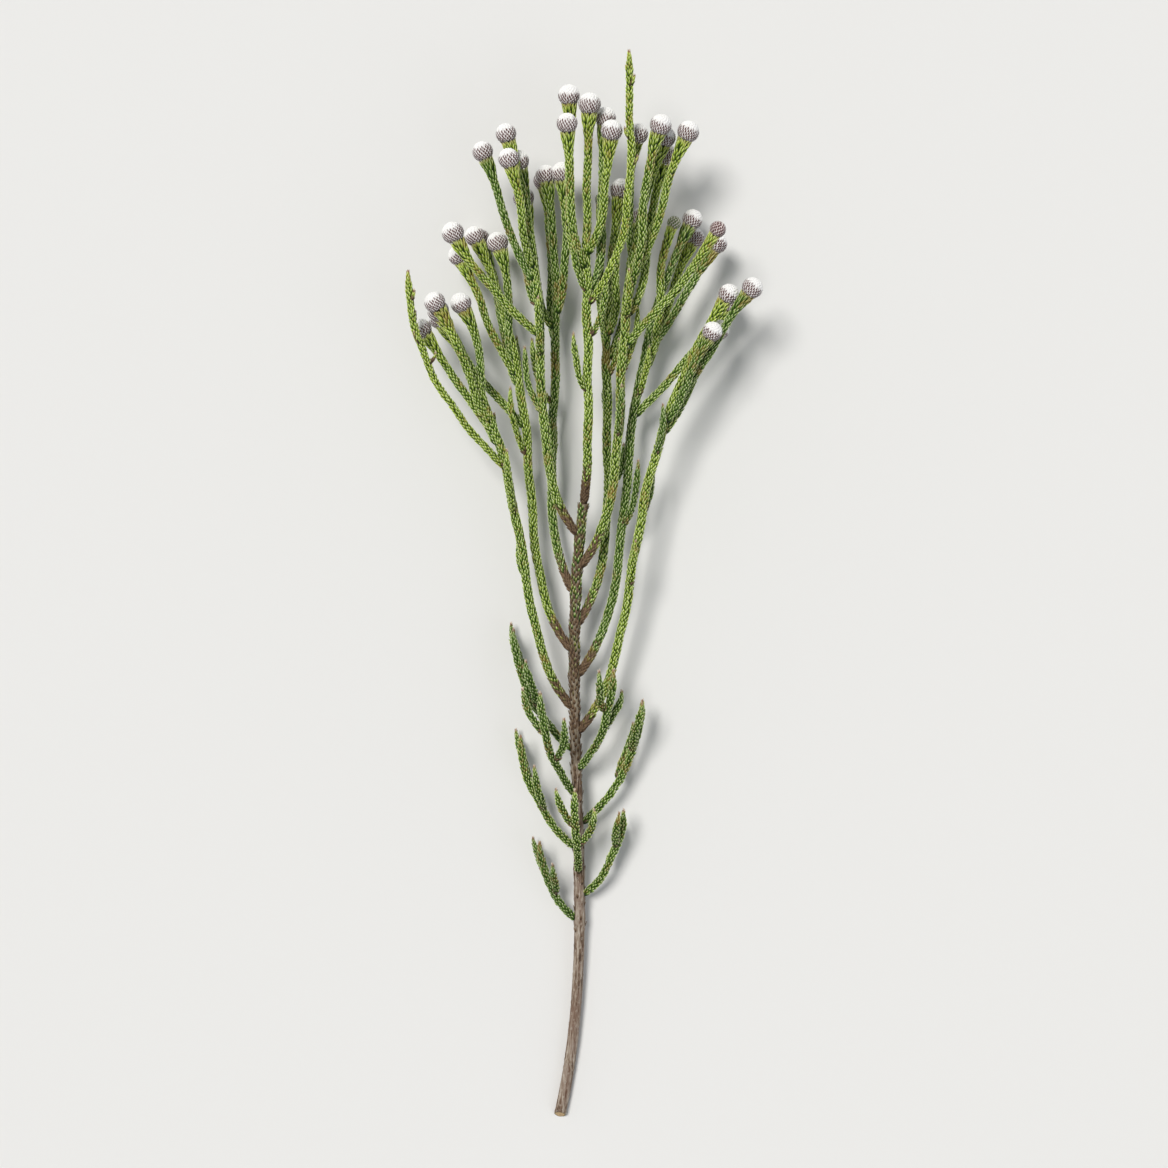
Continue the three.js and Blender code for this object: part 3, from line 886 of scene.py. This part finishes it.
def head_twig(path, ball, fork, key, fresh, start, dry_to=0.0):
    """A twig that widens to a collar under a head of radius ball. Leaves are dry up to dry_to."""
    length = path.length
    seat = ball * HEAD_SEAT + GAP

    def core_at(s):
        twig = (TWIG_RADIUS + (AXIS_RADIUS - TWIG_RADIUS) * smooth((fork - s) / FORK_STEP)) * CORE
        collar = path.from_end(s, COLLAR_LENGTH, COLLAR_LENGTH) ** COLLAR_FLARE
        below = above_seat(ball) + length - s
        under_ball = np.sqrt(np.maximum(ball**2 - below**2, 0)) - COLLAR_HUG
        return np.maximum(twig + (seat - twig) * collar, under_ball * (s > length))

    def length_at(s):
        grown = path.from_end(s, COLLAR_LENGTH, COLLAR_LEAF_GROWS)
        longest = LEAF_LENGTH + (COLLAR_LEAF - LEAF_LENGTH) * grown
        return np.clip(length + COLLAR_OVER - s, SHORTEST_LEAF, longest)

    def mood_at(s):
        collar = path.from_end(s, BRIGHT_LENGTH, BRIGHT_GROWS)
        ends = path.from_end(s, TAN_LENGTH, TAN_LENGTH)
        bright = collar * COLLAR_BRIGHT + ends * TAN_BRIGHT
        return gather(fresh, bright, smooth((dry_to - s) / DRY_FOOT))

    feet = leaf_feet(start, length + COLLAR_OVER - SHORTEST_LEAF, core_at, length_at)
    return [leaves(path, feet, core_at, length_at, key, mood_at), twig_core(path, core_at, mood_at)]


print("collars are", COLLAR_LENGTH, "mm long")

# %% Twigs with a tip
TIP_LENGTH = 7.0
TIP_NARROWING = 0.62
TIP_PAST = 1.25  # how far past a tip a twig would still narrow, in tip lengths
TIP_BARE = 1.2
TIP_LEAF_LENGTH = (0.66, 0.34)  # the share that every leaf has, and the share that girth adds
TIP_LEAF_WIDTH = (0.6, 0.4)
PALE_LENGTH = 6.5
SHOOT_DRY_FOOT = 9.0
SHOOT_DRY_FADES = 10.0
SHOOT_DRY = 0.75


def tip_twig(path, radius, key, fresh, start, lift=1.0):
    """A leafy twig that narrows to a tip."""

    def core_at(s):
        past = np.maximum(0, (s - path.length + TIP_LENGTH) / TIP_LENGTH)
        return radius * CORE * (1 - TIP_NARROWING * np.minimum(past, TIP_PAST))

    def length_at(s):
        always, by_girth = TIP_LEAF_LENGTH
        return LEAF_LENGTH * (always + by_girth * core_at(s) / radius)

    def mood_at(s):
        bright = 2 * path.from_end(s, PALE_LENGTH, PALE_LENGTH)
        dry = smooth((SHOOT_DRY_FOOT - s) / SHOOT_DRY_FADES) * SHOOT_DRY
        return gather(fresh, bright, dry)

    feet = leaf_feet(start, path.length - TIP_BARE, core_at, length_at)
    always, by_girth = TIP_LEAF_WIDTH
    width = LEAF_WIDTH * (always + by_girth * radius / TWIG_RADIUS)
    leafy = leaves(path, feet, core_at, length_at, key, mood_at, lift=lift, width=width)
    return [leafy, twig_core(path, core_at, mood_at)]


print("tips are", TIP_LENGTH, "mm long")

# %% [markdown]
# Nine sprays leave the stem. Each one's axis runs on into its first head, and its other twigs leave
# the axis below at a fork, so every twig has a place of its own. These are the same curves that
# made the solids. Heads lean out of the crown, as if all grew from one point far below it. In the
# table, crown is the middle of a spray's heads, and fork is how far below them its twigs part.
# round, spread and turn set the heads that stand round the first: how many, how far out and where
# the first of them is. low is one more head, beside the crown and below it, and shoot is the tip of
# a young shoot. rests is the number of the head that lies on the table.

# %% The sprays
SPRAYS = [  # in the order of their feet on the stem, from the top down
    dict(crown=(5, 272, 57), fork=82, round=4, spread=13.5, turn=40, shoot=(26, 309, 66)),
    dict(crown=(-38, 250, 54), fork=76, round=3, spread=12.5, turn=70, low=(-28, -40, -4)),
    dict(crown=(44, 255, 52), fork=80, round=4, spread=13, turn=10, low=(28, -42, 5)),
    dict(crown=(-18, 232, 21), fork=80, round=3, spread=12, turn=30),
    dict(crown=(22, 224, 19), fork=82, round=3, spread=12, turn=90),
    dict(crown=(-56, 200, 21), fork=76, round=3, spread=12.5, turn=30, low=(-20, -36, 2), rests=3),
    dict(crown=(60, 208, 20), fork=80, round=3, spread=12.5, turn=30, low=(20, -36, 2), rests=3),
    dict(crown=(-74, 162, 51), fork=70, round=3, spread=12, turn=100, shoot=(-92, 194, 62)),
    dict(crown=(78, 170, 49), fork=74, round=3, spread=12, turn=20),
]
print("sprays:", len(SPRAYS))

# %% Where heads are
HEAD_RADIUS = 5.6
SMALL_HEAD = 0.72
FOOT_PRESS = 0.9
TABLE_CLEARANCE = 2.0
TURN_VARIES = 12
SPREAD_VARIES = 0.12
HEIGHT_VARIES = 13
RADIUS_VARIES = 0.35
UNRIPE_FROM = 0.72
MIDDLE_RISE = 9
MIDDLE_VARIES = 4
LOW_FORK = 30
CROWN_Z = 36
SPLAY = 120


def splay_at(x, z):
    return unit(np.array([x / SPLAY, 1.0, (z - CROWN_Z) / SPLAY]))


def heads_of(spray, number):
    """The heads of a spray, its axis's own first. The one numbered rests is set on the table."""
    x, y, z = spray["crown"]
    heads = []

    def add(key, dx, dy, dz, below):
        unripe = jitter(key + 400) > UNRIPE_FROM
        radius = HEAD_RADIUS * (SMALL_HEAD if unripe else 1) + RADIUS_VARIES * jitter(key + 200)
        seat = np.array([x + dx, y + dy, max(z + dz, radius + TABLE_CLEARANCE)])
        way = splay_at(seat[0], seat[2])
        if len(heads) == spray.get("rests"):
            seat[2] = radius - FOOT_PRESS - way[2] * (GAP + above_seat(radius))
        heads.append(dict(seat=seat, way=way, radius=radius, unripe=unripe, below=below, key=key))

    add(number * 10 + 7, 0, MIDDLE_RISE + MIDDLE_VARIES * jitter(number), 0, 0)
    for k in range(spray["round"]):
        key = number * 10 + k
        angle = math.radians(spray["turn"] + 360 * k / spray["round"] + TURN_VARIES * jitter(key))
        out = spray["spread"] * (1 + SPREAD_VARIES * jitter(key + 100))
        below = spray["fork"] + FORK_STEP * (k - 1)
        dx, dz = out * math.cos(angle), out * math.sin(angle)
        add(key, dx, HEIGHT_VARIES * jitter(key + 300), dz, below)
    if spray.get("low"):
        add(number * 10 + 8, *spray["low"], spray["fork"] + LOW_FORK)
    return heads


print("heads:", sum(len(heads_of(spray, number)) for number, spray in enumerate(SPRAYS)))

# %% [markdown]
# Short leafy sprigs stand on a spray's axis below the fork. A young shoot is a long twig without a
# head, with short side buds near its tip. How fresh a twig looks is drawn from its own number, so
# neighbours differ a little.

# %% Shoots and sprigs
FORK_ROOM = 1.5  # bare at the start of a twig, where it is still inside the other one
FORK_SLOPE = 0.95
TWIG_FRESH = 0.45
FRESH_VARIES = 0.4
SIDE_TWIG_RADIUS = 1.6
SHOOT_PULLS = (0.35, 0.4)
SHOOT_FRESH = 0.95
SHOOT_LIFT = 1.15
BUDS = (0.6, 0.7, 0.79, 0.88)  # where they leave their shoot, as shares of its curve
BUD_RADIUS = 1.3
BUD_FORWARD = 6.4
BUD_OUT = 4.0
BUD_FRESH = 1.0
BUD_ROOM = 1.2
BUD_PULLS = (0.33, 0.33)
SPRIG_RADIUS = 1.35
SPRIG_FORWARD = 30.0
SPRIG_OUT = 10.0
SPRIG_TURN = math.radians(60)
SPRIG_VARIES = 0.3
SPRIG_LIFT = 1.1
SPRIG_KEY = 600
SIDE_PULLS = (0.35, 0.3)


def leaving(start, end, room):
    """The way to set out from start for end: forward, and out to the side where end lies."""
    aside = end - start
    aside = aside - GROWTH * aside.dot(GROWTH)
    distance = np.linalg.norm(aside)
    return unit(GROWTH + aside / distance * FORK_SLOPE * min(1, distance / room))


def across(angle):
    """The way across the stem at this angle: 0 is to the right and a quarter turn is up."""
    return np.array([math.cos(angle), 0, math.sin(angle)])


def freshness(key):
    return TWIG_FRESH + FRESH_VARIES * jitter(key + 700)


def young_shoot(start, way, tip, key):
    curve = bend(start, way, tip, GROWTH, SHOOT_PULLS)
    path = Path(curve, SWAY, key)
    patches = tip_twig(path, SIDE_TWIG_RADIUS, key, SHOOT_FRESH, FORK_ROOM, SHOOT_LIFT)
    for k, share in enumerate(BUDS):
        root = curve.at(share)
        end = root + GROWTH * BUD_FORWARD + across(k * GOLDEN_ANGLE) * BUD_OUT
        side = Path(bend(root, unit(end - root), end, GROWTH, BUD_PULLS))
        patches += tip_twig(side, BUD_RADIUS, key + k + 1, BUD_FRESH, BUD_ROOM)
    return patches


def sprig(root, spray, k, key):
    """A short leafy shoot on a spray's axis, leaning out of the crown to one side or the other."""
    x, _, z = spray["crown"]
    angle = math.atan2(z - CROWN_Z, x) + SPRIG_TURN * (1 if k % 2 == 0 else -1)
    size = 1 + SPRIG_VARIES * jitter(key + 500)
    end = root + size * (GROWTH * SPRIG_FORWARD + across(angle) * SPRIG_OUT)
    end[2] = max(end[2], SPRIG_RADIUS * 2)
    path = Path(bend(root, leaving(root, end, SPRIG_OUT), end, GROWTH, SIDE_PULLS), SWAY, key)
    fresh = freshness(key + 40)
    return tip_twig(path, SPRIG_RADIUS, SPRIG_KEY + key, fresh, FORK_ROOM, SPRIG_LIFT)


print("a shoot has", len(BUDS), "buds")

# %% [markdown]
# One spray is one piece: all its twigs and leaves. A piece for each twig would be easier to move
# about, but the twigs of a spray never move apart, and each solid of the frame is one whole spray.

# %% Grow the sprays
STEM_ROOM = 20
AXIS_PULLS = (0.25, 0.45)
TWIG_PULLS = (0.3, 0.42)
SPRIGS = (0.5, 0.72, 0.9)  # where short shoots leave an axis, as shares of the way to its fork
SHOOT_FORK = 20
AXIS_KEY, TWIG_KEY, SHOOT_KEY = 100, 200, 500


def spray_patches(spray, number, heads):
    foot = STEM_CURVE.at(SPRAY_FEET[number])
    seat, way, radius = (heads[0][name] for name in ("seat", "way", "radius"))
    curve = bend(foot, leaving(foot, seat, STEM_ROOM), seat, way, AXIS_PULLS)
    axis = Path(curve, SWAY, number)
    bare = STEM_TOP_RADIUS if number else 0.0  # the first goes on from the stem's end
    fork = axis.length - spray["fork"]
    fresh = freshness(number)
    patches = head_twig(axis, radius, fork, AXIS_KEY + number, fresh, bare, DRY_FOOT)
    for head in heads[1:]:
        key = head["key"]
        start = axis.point(axis.length - head["below"])
        way = leaving(start, head["seat"], spray["spread"])
        twig = Path(bend(start, way, head["seat"], head["way"], TWIG_PULLS), SWAY, key)
        patches += head_twig(twig, head["radius"], 0, TWIG_KEY + key, freshness(key), FORK_ROOM)
    for k, share in enumerate(SPRIGS):
        patches += sprig(axis.point(share * fork), spray, k, number * 10 + k)
    if spray.get("shoot"):
        start = axis.point(axis.length - spray["fork"] - SHOOT_FORK)
        tip = np.array(spray["shoot"], float)
        way = leaving(start, tip, spray["spread"])
        patches += young_shoot(start, way, tip, SHOOT_KEY + 10 * number)
    return patches


grown = 0
for number, spray in enumerate(SPRAYS):
    name = f"spray_{number + 1}"
    patches = spray_patches(spray, number, heads_of(spray, number))
    piece = make_piece(name, patches, LEAF, name)
    grown += len(piece.data.polygons)
print("spray triangles:", grown)

# %% [markdown]
# The lower stem carries thin leafy side twigs with two short forks each and no heads. They are the
# darkest green. Their leaves stand out a little more than those of the sprays, so their outline is
# saw-edged.

# %% Grow the side twigs
SIDE_OUT = 0.42
SIDE_FORWARD = 0.86
SIDE_LEAVING = (0.55, 0.45)  # how much outward and how much forward
SIDE_LIFT = 1.5
SIDE_FRESH = 0.2
SIDE_FRESH_VARIES = 0.25
SIDE_FORKS = (0.4, 0.62)
SIDE_FORK_RADIUS = SIDE_TWIG_RADIUS * 0.9
FORK_SIDEWAYS = 0.16
FORK_OUT = 0.08
FORK_FORWARD = 0.36
SIDE_TURNS = (160, 20, 95, 172, 8, 130, 48, 178)
SIDE_LENGTHS = (58, 64, 66, 80, 88, 76, 74, 84)
SIDE_TWIG_KEY = 800


def side_twig_patches(share, turn, length, key):
    foot = STEM_CURVE.at(share)
    out = across(math.radians(turn))
    lowest = SIDE_TWIG_RADIUS * 2
    tip = foot + out * length * SIDE_OUT + GROWTH * length * SIDE_FORWARD
    tip[2] = max(tip[2], lowest)
    way = unit(out * SIDE_LEAVING[0] + GROWTH * SIDE_LEAVING[1])
    curve = bend(foot, way, tip, GROWTH, SIDE_PULLS)
    fresh = SIDE_FRESH + SIDE_FRESH_VARIES * jitter(key)
    path = Path(curve, SWAY, key)
    patches = tip_twig(path, SIDE_TWIG_RADIUS, key, fresh, STEM_BASE_RADIUS, SIDE_LIFT)
    for k, share in enumerate(SIDE_FORKS):
        start = curve.at(share)
        sideways = np.array([out[2], 0, -out[0]]) * (1 if k == 0 else -1)
        end = start + length * (sideways * FORK_SIDEWAYS + out * FORK_OUT + GROWTH * FORK_FORWARD)
        end[2] = max(end[2], lowest)
        way = unit(sideways + GROWTH)
        fork = Path(bend(start, way, end, GROWTH, SIDE_PULLS), SWAY, key + k)
        patches += tip_twig(fork, SIDE_FORK_RADIUS, key + 3 + k, fresh, FORK_ROOM, SIDE_LIFT)
    return patches


for number, twig in enumerate(zip(SIDE_TWIG_FEET, SIDE_TURNS, SIDE_LENGTHS)):
    name = f"side_twig_{number + 1}"
    patches = side_twig_patches(*twig, SIDE_TWIG_KEY + 10 * number)
    make_piece(name, patches, LEAF, name)
print("side twigs:", len(SIDE_TWIG_FEET))

# %% [markdown]
# The upper stem isn't bare: dried scale leaves still sit on it, more and greener towards the crown.
# They are the same leaves again, set thinly along the stem's own path.

# %% Leaves left on the stem
STEM_LEAVES_FROM = 0.3  # this and the next are shares of the stem's length
MORE_FROM, MORE_OVER = 0.45, 0.5
GREENER_FROM, GREENER_OVER = 0.55, 0.45
FEWEST, MORE = 0.04, 0.6  # how much of the bark they cover
DRIEST, GREENER = 1.05, 0.6
STEM_LEAF_SIZE = 0.95
STEM_LEAF_LIFT = 0.9
STEM_LEAVES_OFF = 0.1
STEM_LEAVES_KEY = 990


def stem_leaves_patch():
    def core_at(s):
        return stem_radius(s / STEM.length) + STEM_LEAVES_OFF

    def length_at(s):
        return np.full_like(s, LEAF_LENGTH * STEM_LEAF_SIZE)

    def cover(s):
        return FEWEST + MORE * smooth((s / STEM.length - MORE_FROM) / MORE_OVER)

    def mood_at(s):
        greener = smooth((s / STEM.length - GREENER_FROM) / GREENER_OVER)
        return gather(SIDE_FRESH, 0.0, DRIEST - GREENER * greener)

    feet = leaf_feet(STEM.length * STEM_LEAVES_FROM, STEM.length - 2, core_at, length_at, cover)
    return leaves(STEM, feet, core_at, length_at, STEM_LEAVES_KEY, mood_at, STEM_LEAF_LIFT)


stem_leaves = make_piece("stem_leaves", [stem_leaves_patch()], LEAF)
print("leaves left on the stem:", len(stem_leaves.data.polygons) // len(LEAF_FACES))

# %% [markdown]
# A head is a ball of well over a hundred tiny florets. White wool covers each like a cushion, and
# the dark tip of a bract shows through it, small near the top and long towards the collar, where
# the tips stand out as a dark fringe. Florets sit on a golden spiral over the ball, which gives the
# crossing rows of a real head.

# %% Florets on a ball
FLORETS = 180  # on a whole ball of the usual radius
LAST_FLORET = 0.95  # the lowest one, as a share of the way down to the seat
FLORET_UNEVEN = 0.005  # how far florets stray from the spiral, in height and round the ball
FLORET_TURN = 0.02
SWELLS = (-0.06, 0.08)  # mm that each cushion is lower or higher
LOW_FROM = 0.7  # the height from which bracts get longer downward
RIPE = 0.72  # 1 is a white head, and 0 or less an unripe one
RIPE_VARIES = 0.28
DARK_BELOW = 0.12  # the height, from -1 to 1, under which the bracts of the ripest head show
DARK_RISES = 0.95
BALL_KEY = 3000


class Ball:
    """A head's ball: its middle, its own three directions and the places of its florets."""

    def __init__(self, head):
        self.chance = np.random.default_rng(BALL_KEY + head["key"])
        self.radius = head["radius"]
        self.florets = round(FLORETS * (self.radius / HEAD_RADIUS) ** 2)
        self.pitch = math.sqrt(4 * math.pi / self.florets) * self.radius
        self.ripe = RIPE + RIPE_VARIES * jitter(head["key"] + 50)
        if head["unripe"]:
            self.ripe = -1.0 if head["key"] % 2 else 0.0
        self.dark_below = DARK_BELOW + DARK_RISES * (1 - self.ripe)
        self.lowest = -above_seat(self.radius) / self.radius
        self.way = head["way"]
        self.middle = head["seat"] + self.way * (GAP + above_seat(self.radius))
        side = unit(np.cross((0, 0, 1), self.way))
        self.directions = np.array([side, np.cross(self.way, side), self.way])
        self.set_florets()

    def set_florets(self):
        k = np.arange(self.florets) + 0.5
        height = 1 - 2 * k / self.florets
        shows = height > LAST_FLORET * self.lowest
        k, height = k[shows], height[shows]
        self.count = len(k)
        self.height = height + self.chance.normal(0, FLORET_UNEVEN, self.count)
        spin = self.chance.uniform(0, 2 * np.pi)
        turn = spin + k * GOLDEN_ANGLE + self.chance.normal(0, FLORET_TURN, self.count)
        flat = np.sqrt(1 - np.minimum(self.height**2, 1))
        self.out = gather(flat * np.cos(turn), flat * np.sin(turn), self.height)
        self.aside = gather(-np.sin(turn), np.cos(turn), 0)
        self.upward = np.cross(self.out, self.aside)
        self.swell = self.chance.uniform(*SWELLS, self.count)
        self.low = smooth(LOW_FROM - self.height)

    def points(self, ways, radius):
        """Points in the frame from ways in the ball's own directions."""
        return self.middle + (ways * np.asarray(radius)[..., None]) @ self.directions

    def near(self, which, u, v, above):
        """Points u and v mm over the ball from each of these florets, and above mm off it."""
        over = self.aside[which, None] * u[..., None] + self.upward[which, None] * v[..., None]
        return self.points(unit(self.out[which, None] + over / self.radius), self.radius + above)

    def mood(self, height, spike):
        return gather(height, self.ripe, spike)


print("a ball has", Ball(heads_of(SPRAYS[0], 0)[0]).count, "florets")

# %% [markdown]
# A cushion is a closed little pad of two rings and a peak. It is longer up the ball than it is
# wide, and it sinks to nothing at its edge, so dark creases run between the pads. A bract is a
# closed spike of its own, with its foot sunk in the pad and its tip standing clear. Under them all
# a plain ball closes the last gaps.

# %% Cushions
CUSHION_SIDES = 8
CUSHION_WIDE = 0.60  # half width of a cushion, as a share of the florets' pitch
CUSHION_LONG = 0.70
CUSHION_RINGS = ((1.0, -0.42), (0.70, -0.06))  # size and height in mm of each ring
CUSHION_PEAK = (0.0, 0.12, 0.08)
CUSHION_EDGE = -0.3  # what lies lower is its sunk edge, which doesn't swell


def cushion_faces():
    a = np.arange(CUSHION_SIDES)
    b = np.roll(a, -1)
    above_a, above_b = a + CUSHION_SIDES, b + CUSHION_SIDES
    under = np.array([(0, k + 1, k) for k in range(1, CUSHION_SIDES - 1)])
    peak = gather(above_a, above_b, 2 * CUSHION_SIDES)
    return np.concatenate([gather(a, b, above_b), gather(a, above_b, above_a), peak, under])


CUSHION_FACES = cushion_faces()


def cushion_shape():
    """Sideways place, place up the ball and height for each point of a cushion."""
    x, y = np.cos(angles(CUSHION_SIDES)), np.sin(angles(CUSHION_SIDES))
    rings = [gather(x * size, y * size, above) for size, above in CUSHION_RINGS]
    return np.concatenate([*rings, [CUSHION_PEAK]]).T


def cushions(ball):
    u, v, above = (np.tile(row, (ball.count, 1)) for row in cushion_shape())
    above = above + ball.swell[:, None] * (above > CUSHION_EDGE)
    every = np.arange(ball.count)
    points = ball.near(every, u * CUSHION_WIDE * ball.pitch, v * CUSHION_LONG * ball.pitch, above)
    corners = u.shape[1]
    each = np.repeat(ball.chance.uniform(0, 1, ball.count), corners)
    spot = gather(u.ravel(), v.ravel(), each)
    mood = ball.mood(np.repeat(ball.height, corners), 0.0)
    faces = copies(CUSHION_FACES, corners, ball.count)
    flat, cell = spot[:, :2] * 0.5 + 0.5, np.repeat(every, corners)
    return Patch(points.reshape(-1, 3), faces, spot, mood, flat, cell)


print("cushion triangles:", len(CUSHION_FACES))

# %% Bracts
BRACT_LONG = 0.80  # half length, as a share of the pitch
BRACT_WIDE = 0.33
BRACT_OUT = 0.34  # mm that a low bract's tip stands out
BRACT_UP = 0.1
BRACT_SIZE = (0.35, 0.65)  # the share that every bract has, and the share that lowness adds
BRACTS_LOWER = 0.1  # how much lower than their dark dashes they start
BRACT_SHAPE = np.array([(0, -0.7), (-1, 0.0), (0, 0.05), (1, 0.0), (0, 1.0), (0, 0.0)])
BRACT_HEIGHT = np.array([-0.15, -0.06, 0.16, -0.06, 1.0, -0.4])
BRACT_TOP = [(0, 2, 1), (0, 3, 2), (1, 2, 4), (2, 3, 4)]
BRACT_FACES = np.array(BRACT_TOP + [(0, 1, 5), (1, 4, 5), (4, 3, 5), (3, 0, 5)])


def bracts(ball):
    which = np.flatnonzero(ball.height < ball.dark_below - BRACTS_LOWER)
    always, by_height = BRACT_SIZE
    size = (always + by_height * ball.low[which])[:, None]
    u = BRACT_SHAPE[:, 0] * BRACT_WIDE * ball.pitch * size
    v = BRACT_SHAPE[:, 1] * BRACT_LONG * ball.pitch * size
    above = BRACT_UP + BRACT_HEIGHT * BRACT_OUT * size + ball.swell[which, None]
    points = ball.near(which, u, v, above)
    corners, count = len(BRACT_SHAPE), len(which)
    mood = ball.mood(np.repeat(ball.height[which], corners), 1.0)
    flat = np.tile(BRACT_SHAPE * 0.5 + 0.5, (count, 1))
    faces = copies(BRACT_FACES, corners, count)
    return Patch(points.reshape(-1, 3), faces, (0, 0.3, 0.5), mood, flat, 0)


print("bract triangles:", len(BRACT_FACES))

# %% The ball under them
BALL_SUNK = 0.30
BALL_SIDES = 20
BALL_LEVELS = 14


def kernel(ball):
    levels = np.cos(np.linspace(np.pi, 0, BALL_LEVELS))[1:-1]
    levels = levels[levels > ball.lowest]
    angle = angles(BALL_SIDES)
    flat = np.sqrt(1 - levels[:, None] ** 2)
    ways = gather(flat * np.cos(angle), flat * np.sin(angle), levels[:, None])
    inner = ball.radius - BALL_SUNK
    rings = ball.points(ways, np.full(ways.shape[:2], inner))
    bottom = ball.middle + ball.way * ball.radius * ball.lowest
    points, faces = sleeve(rings, bottom, ball.middle + ball.way * inner)
    heights = np.r_[np.repeat(levels, BALL_SIDES), ball.lowest, 1]
    turns = np.r_[np.tile(angle / (2 * np.pi), len(levels)), 0.5, 0.5]
    flat = gather(turns, heights * 0.5 + 0.5)
    # Its spot is that of a cushion's edge, so the ball under the cushions takes the painted crease
    # shade.
    return Patch(points, faces, (1, 0, 0.5), ball.mood(heights, 0.0), flat, 0)


print("under the cushions is a ball of", BALL_SIDES, "sides")

# %% [markdown]
# Ripe wool is nearly pure white on top. Towards the underside it is painted greyer, with random
# clouds, and it is painted darker in the creases between the cushions. Both are painted shade, and
# the ball under the cushions takes the crease shade. A dark purple-brown dash marks each bract,
# drawn from the place on the cushion that the mesh keeps: narrow, along the way to the top, and
# longer lower down. An unripe head has little wool yet, so it looks green or purple under a pale
# net. Soft sheen stands for the finest hairs.

# %% Wool finish
WOOL = (0.87, 0.87, 0.86)
# Painted shade: the wool is greyer towards a head's underside.
WOOL_LOW_SHADE = (0.82, 0.79, 0.78)
# Painted shade in the creases between cushions.
WOOL_CREASE_SHADE = (0.55, 0.50, 0.50)
BRACT_DARK = (0.070, 0.026, 0.028)
BRACT_TIP = (0.15, 0.062, 0.052)
BUD_GREEN = (0.11, 0.17, 0.045)
UNRIPE_WOOL = (0.74, 0.66, 0.64)


def make_wool():
    soft = {"Specular IOR Level": 0.15, "Sheen Weight": 0.35, "Sheen Roughness": 0.5}
    finish = Finish("wool", soft)
    u, v, each = finish.read("spot")
    height, ripe, spike = finish.read("mood")
    fibres = finish.grain(0.5, detail=3.0)
    clouds = finish.grain(4.0, detail=1.0)
    out = (u * u + v * v) ** 0.5
    low = height.between(0.6, -0.4)
    # Painted shade: greyer wool towards the underside, with random clouds.
    white = finish.mix(low * 0.8 + clouds * 0.2 - 0.1, WOOL, WOOL_LOW_SHADE)
    white = finish.mix(ripe.between(0.4, 0.0), white, UNRIPE_WOOL)
    # Painted shade in the creases at each cushion's edge.
    white = finish.mix(out.between(0.7, 1.0) * (0.42 + low * 0.1), white, WOOL_CREASE_SHADE)
    width = 0.52 - abs(v + 0.1) * 0.34 + ripe.between(0.6, 0.0) * 0.08
    dash = (width - abs(u)).between(-0.06, 0.06)
    dark_below = DARK_BELOW + DARK_RISES * (1 - ripe)
    shows = (dark_below - height + each * 0.2).between(0.0, 0.3)
    dark = (dash * shows).larger(spike)
    bract = finish.mix(fibres, BRACT_DARK, BRACT_TIP)
    bract = finish.mix(ripe.between(-0.3, -0.8), bract, BUD_GREEN)
    finish.give(base_color=finish.mix(dark, white, bract))
    finish.give(roughness=0.95 - dark * 0.4)
    finish.give(normal=finish.bump(fibres, 0.12))
    return finish


WOOL_FINISH = make_wool()
print("wool finish has", len(WOOL_FINISH.tree.nodes), "nodes")

# %% [markdown]
# Each head is one piece that stands for its solid. Its seat, way and size come from the table of
# sprays, so it sits on its collar. Its key seeds its own random draws, so no two heads are quite
# alike and each run gives the same ones.

# %% Grow the heads
grown = 0
for number, spray in enumerate(SPRAYS):
    for k, head in enumerate(heads_of(spray, number)):
        name = f"head_{number + 1}_{k + 1}"
        ball = Ball(head)
        patches = [cushions(ball), bracts(ball), kernel(ball)]
        piece = make_piece(name, patches, WOOL_FINISH, name)
        grown += len(piece.data.polygons)
print("head triangles:", grown)

# %% Finish
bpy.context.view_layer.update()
meshes = [mesh for mesh in bpy.data.meshes if mesh.attributes.get("spot")]
print("triangles in all:", sum(len(mesh.polygons) for mesh in meshes))
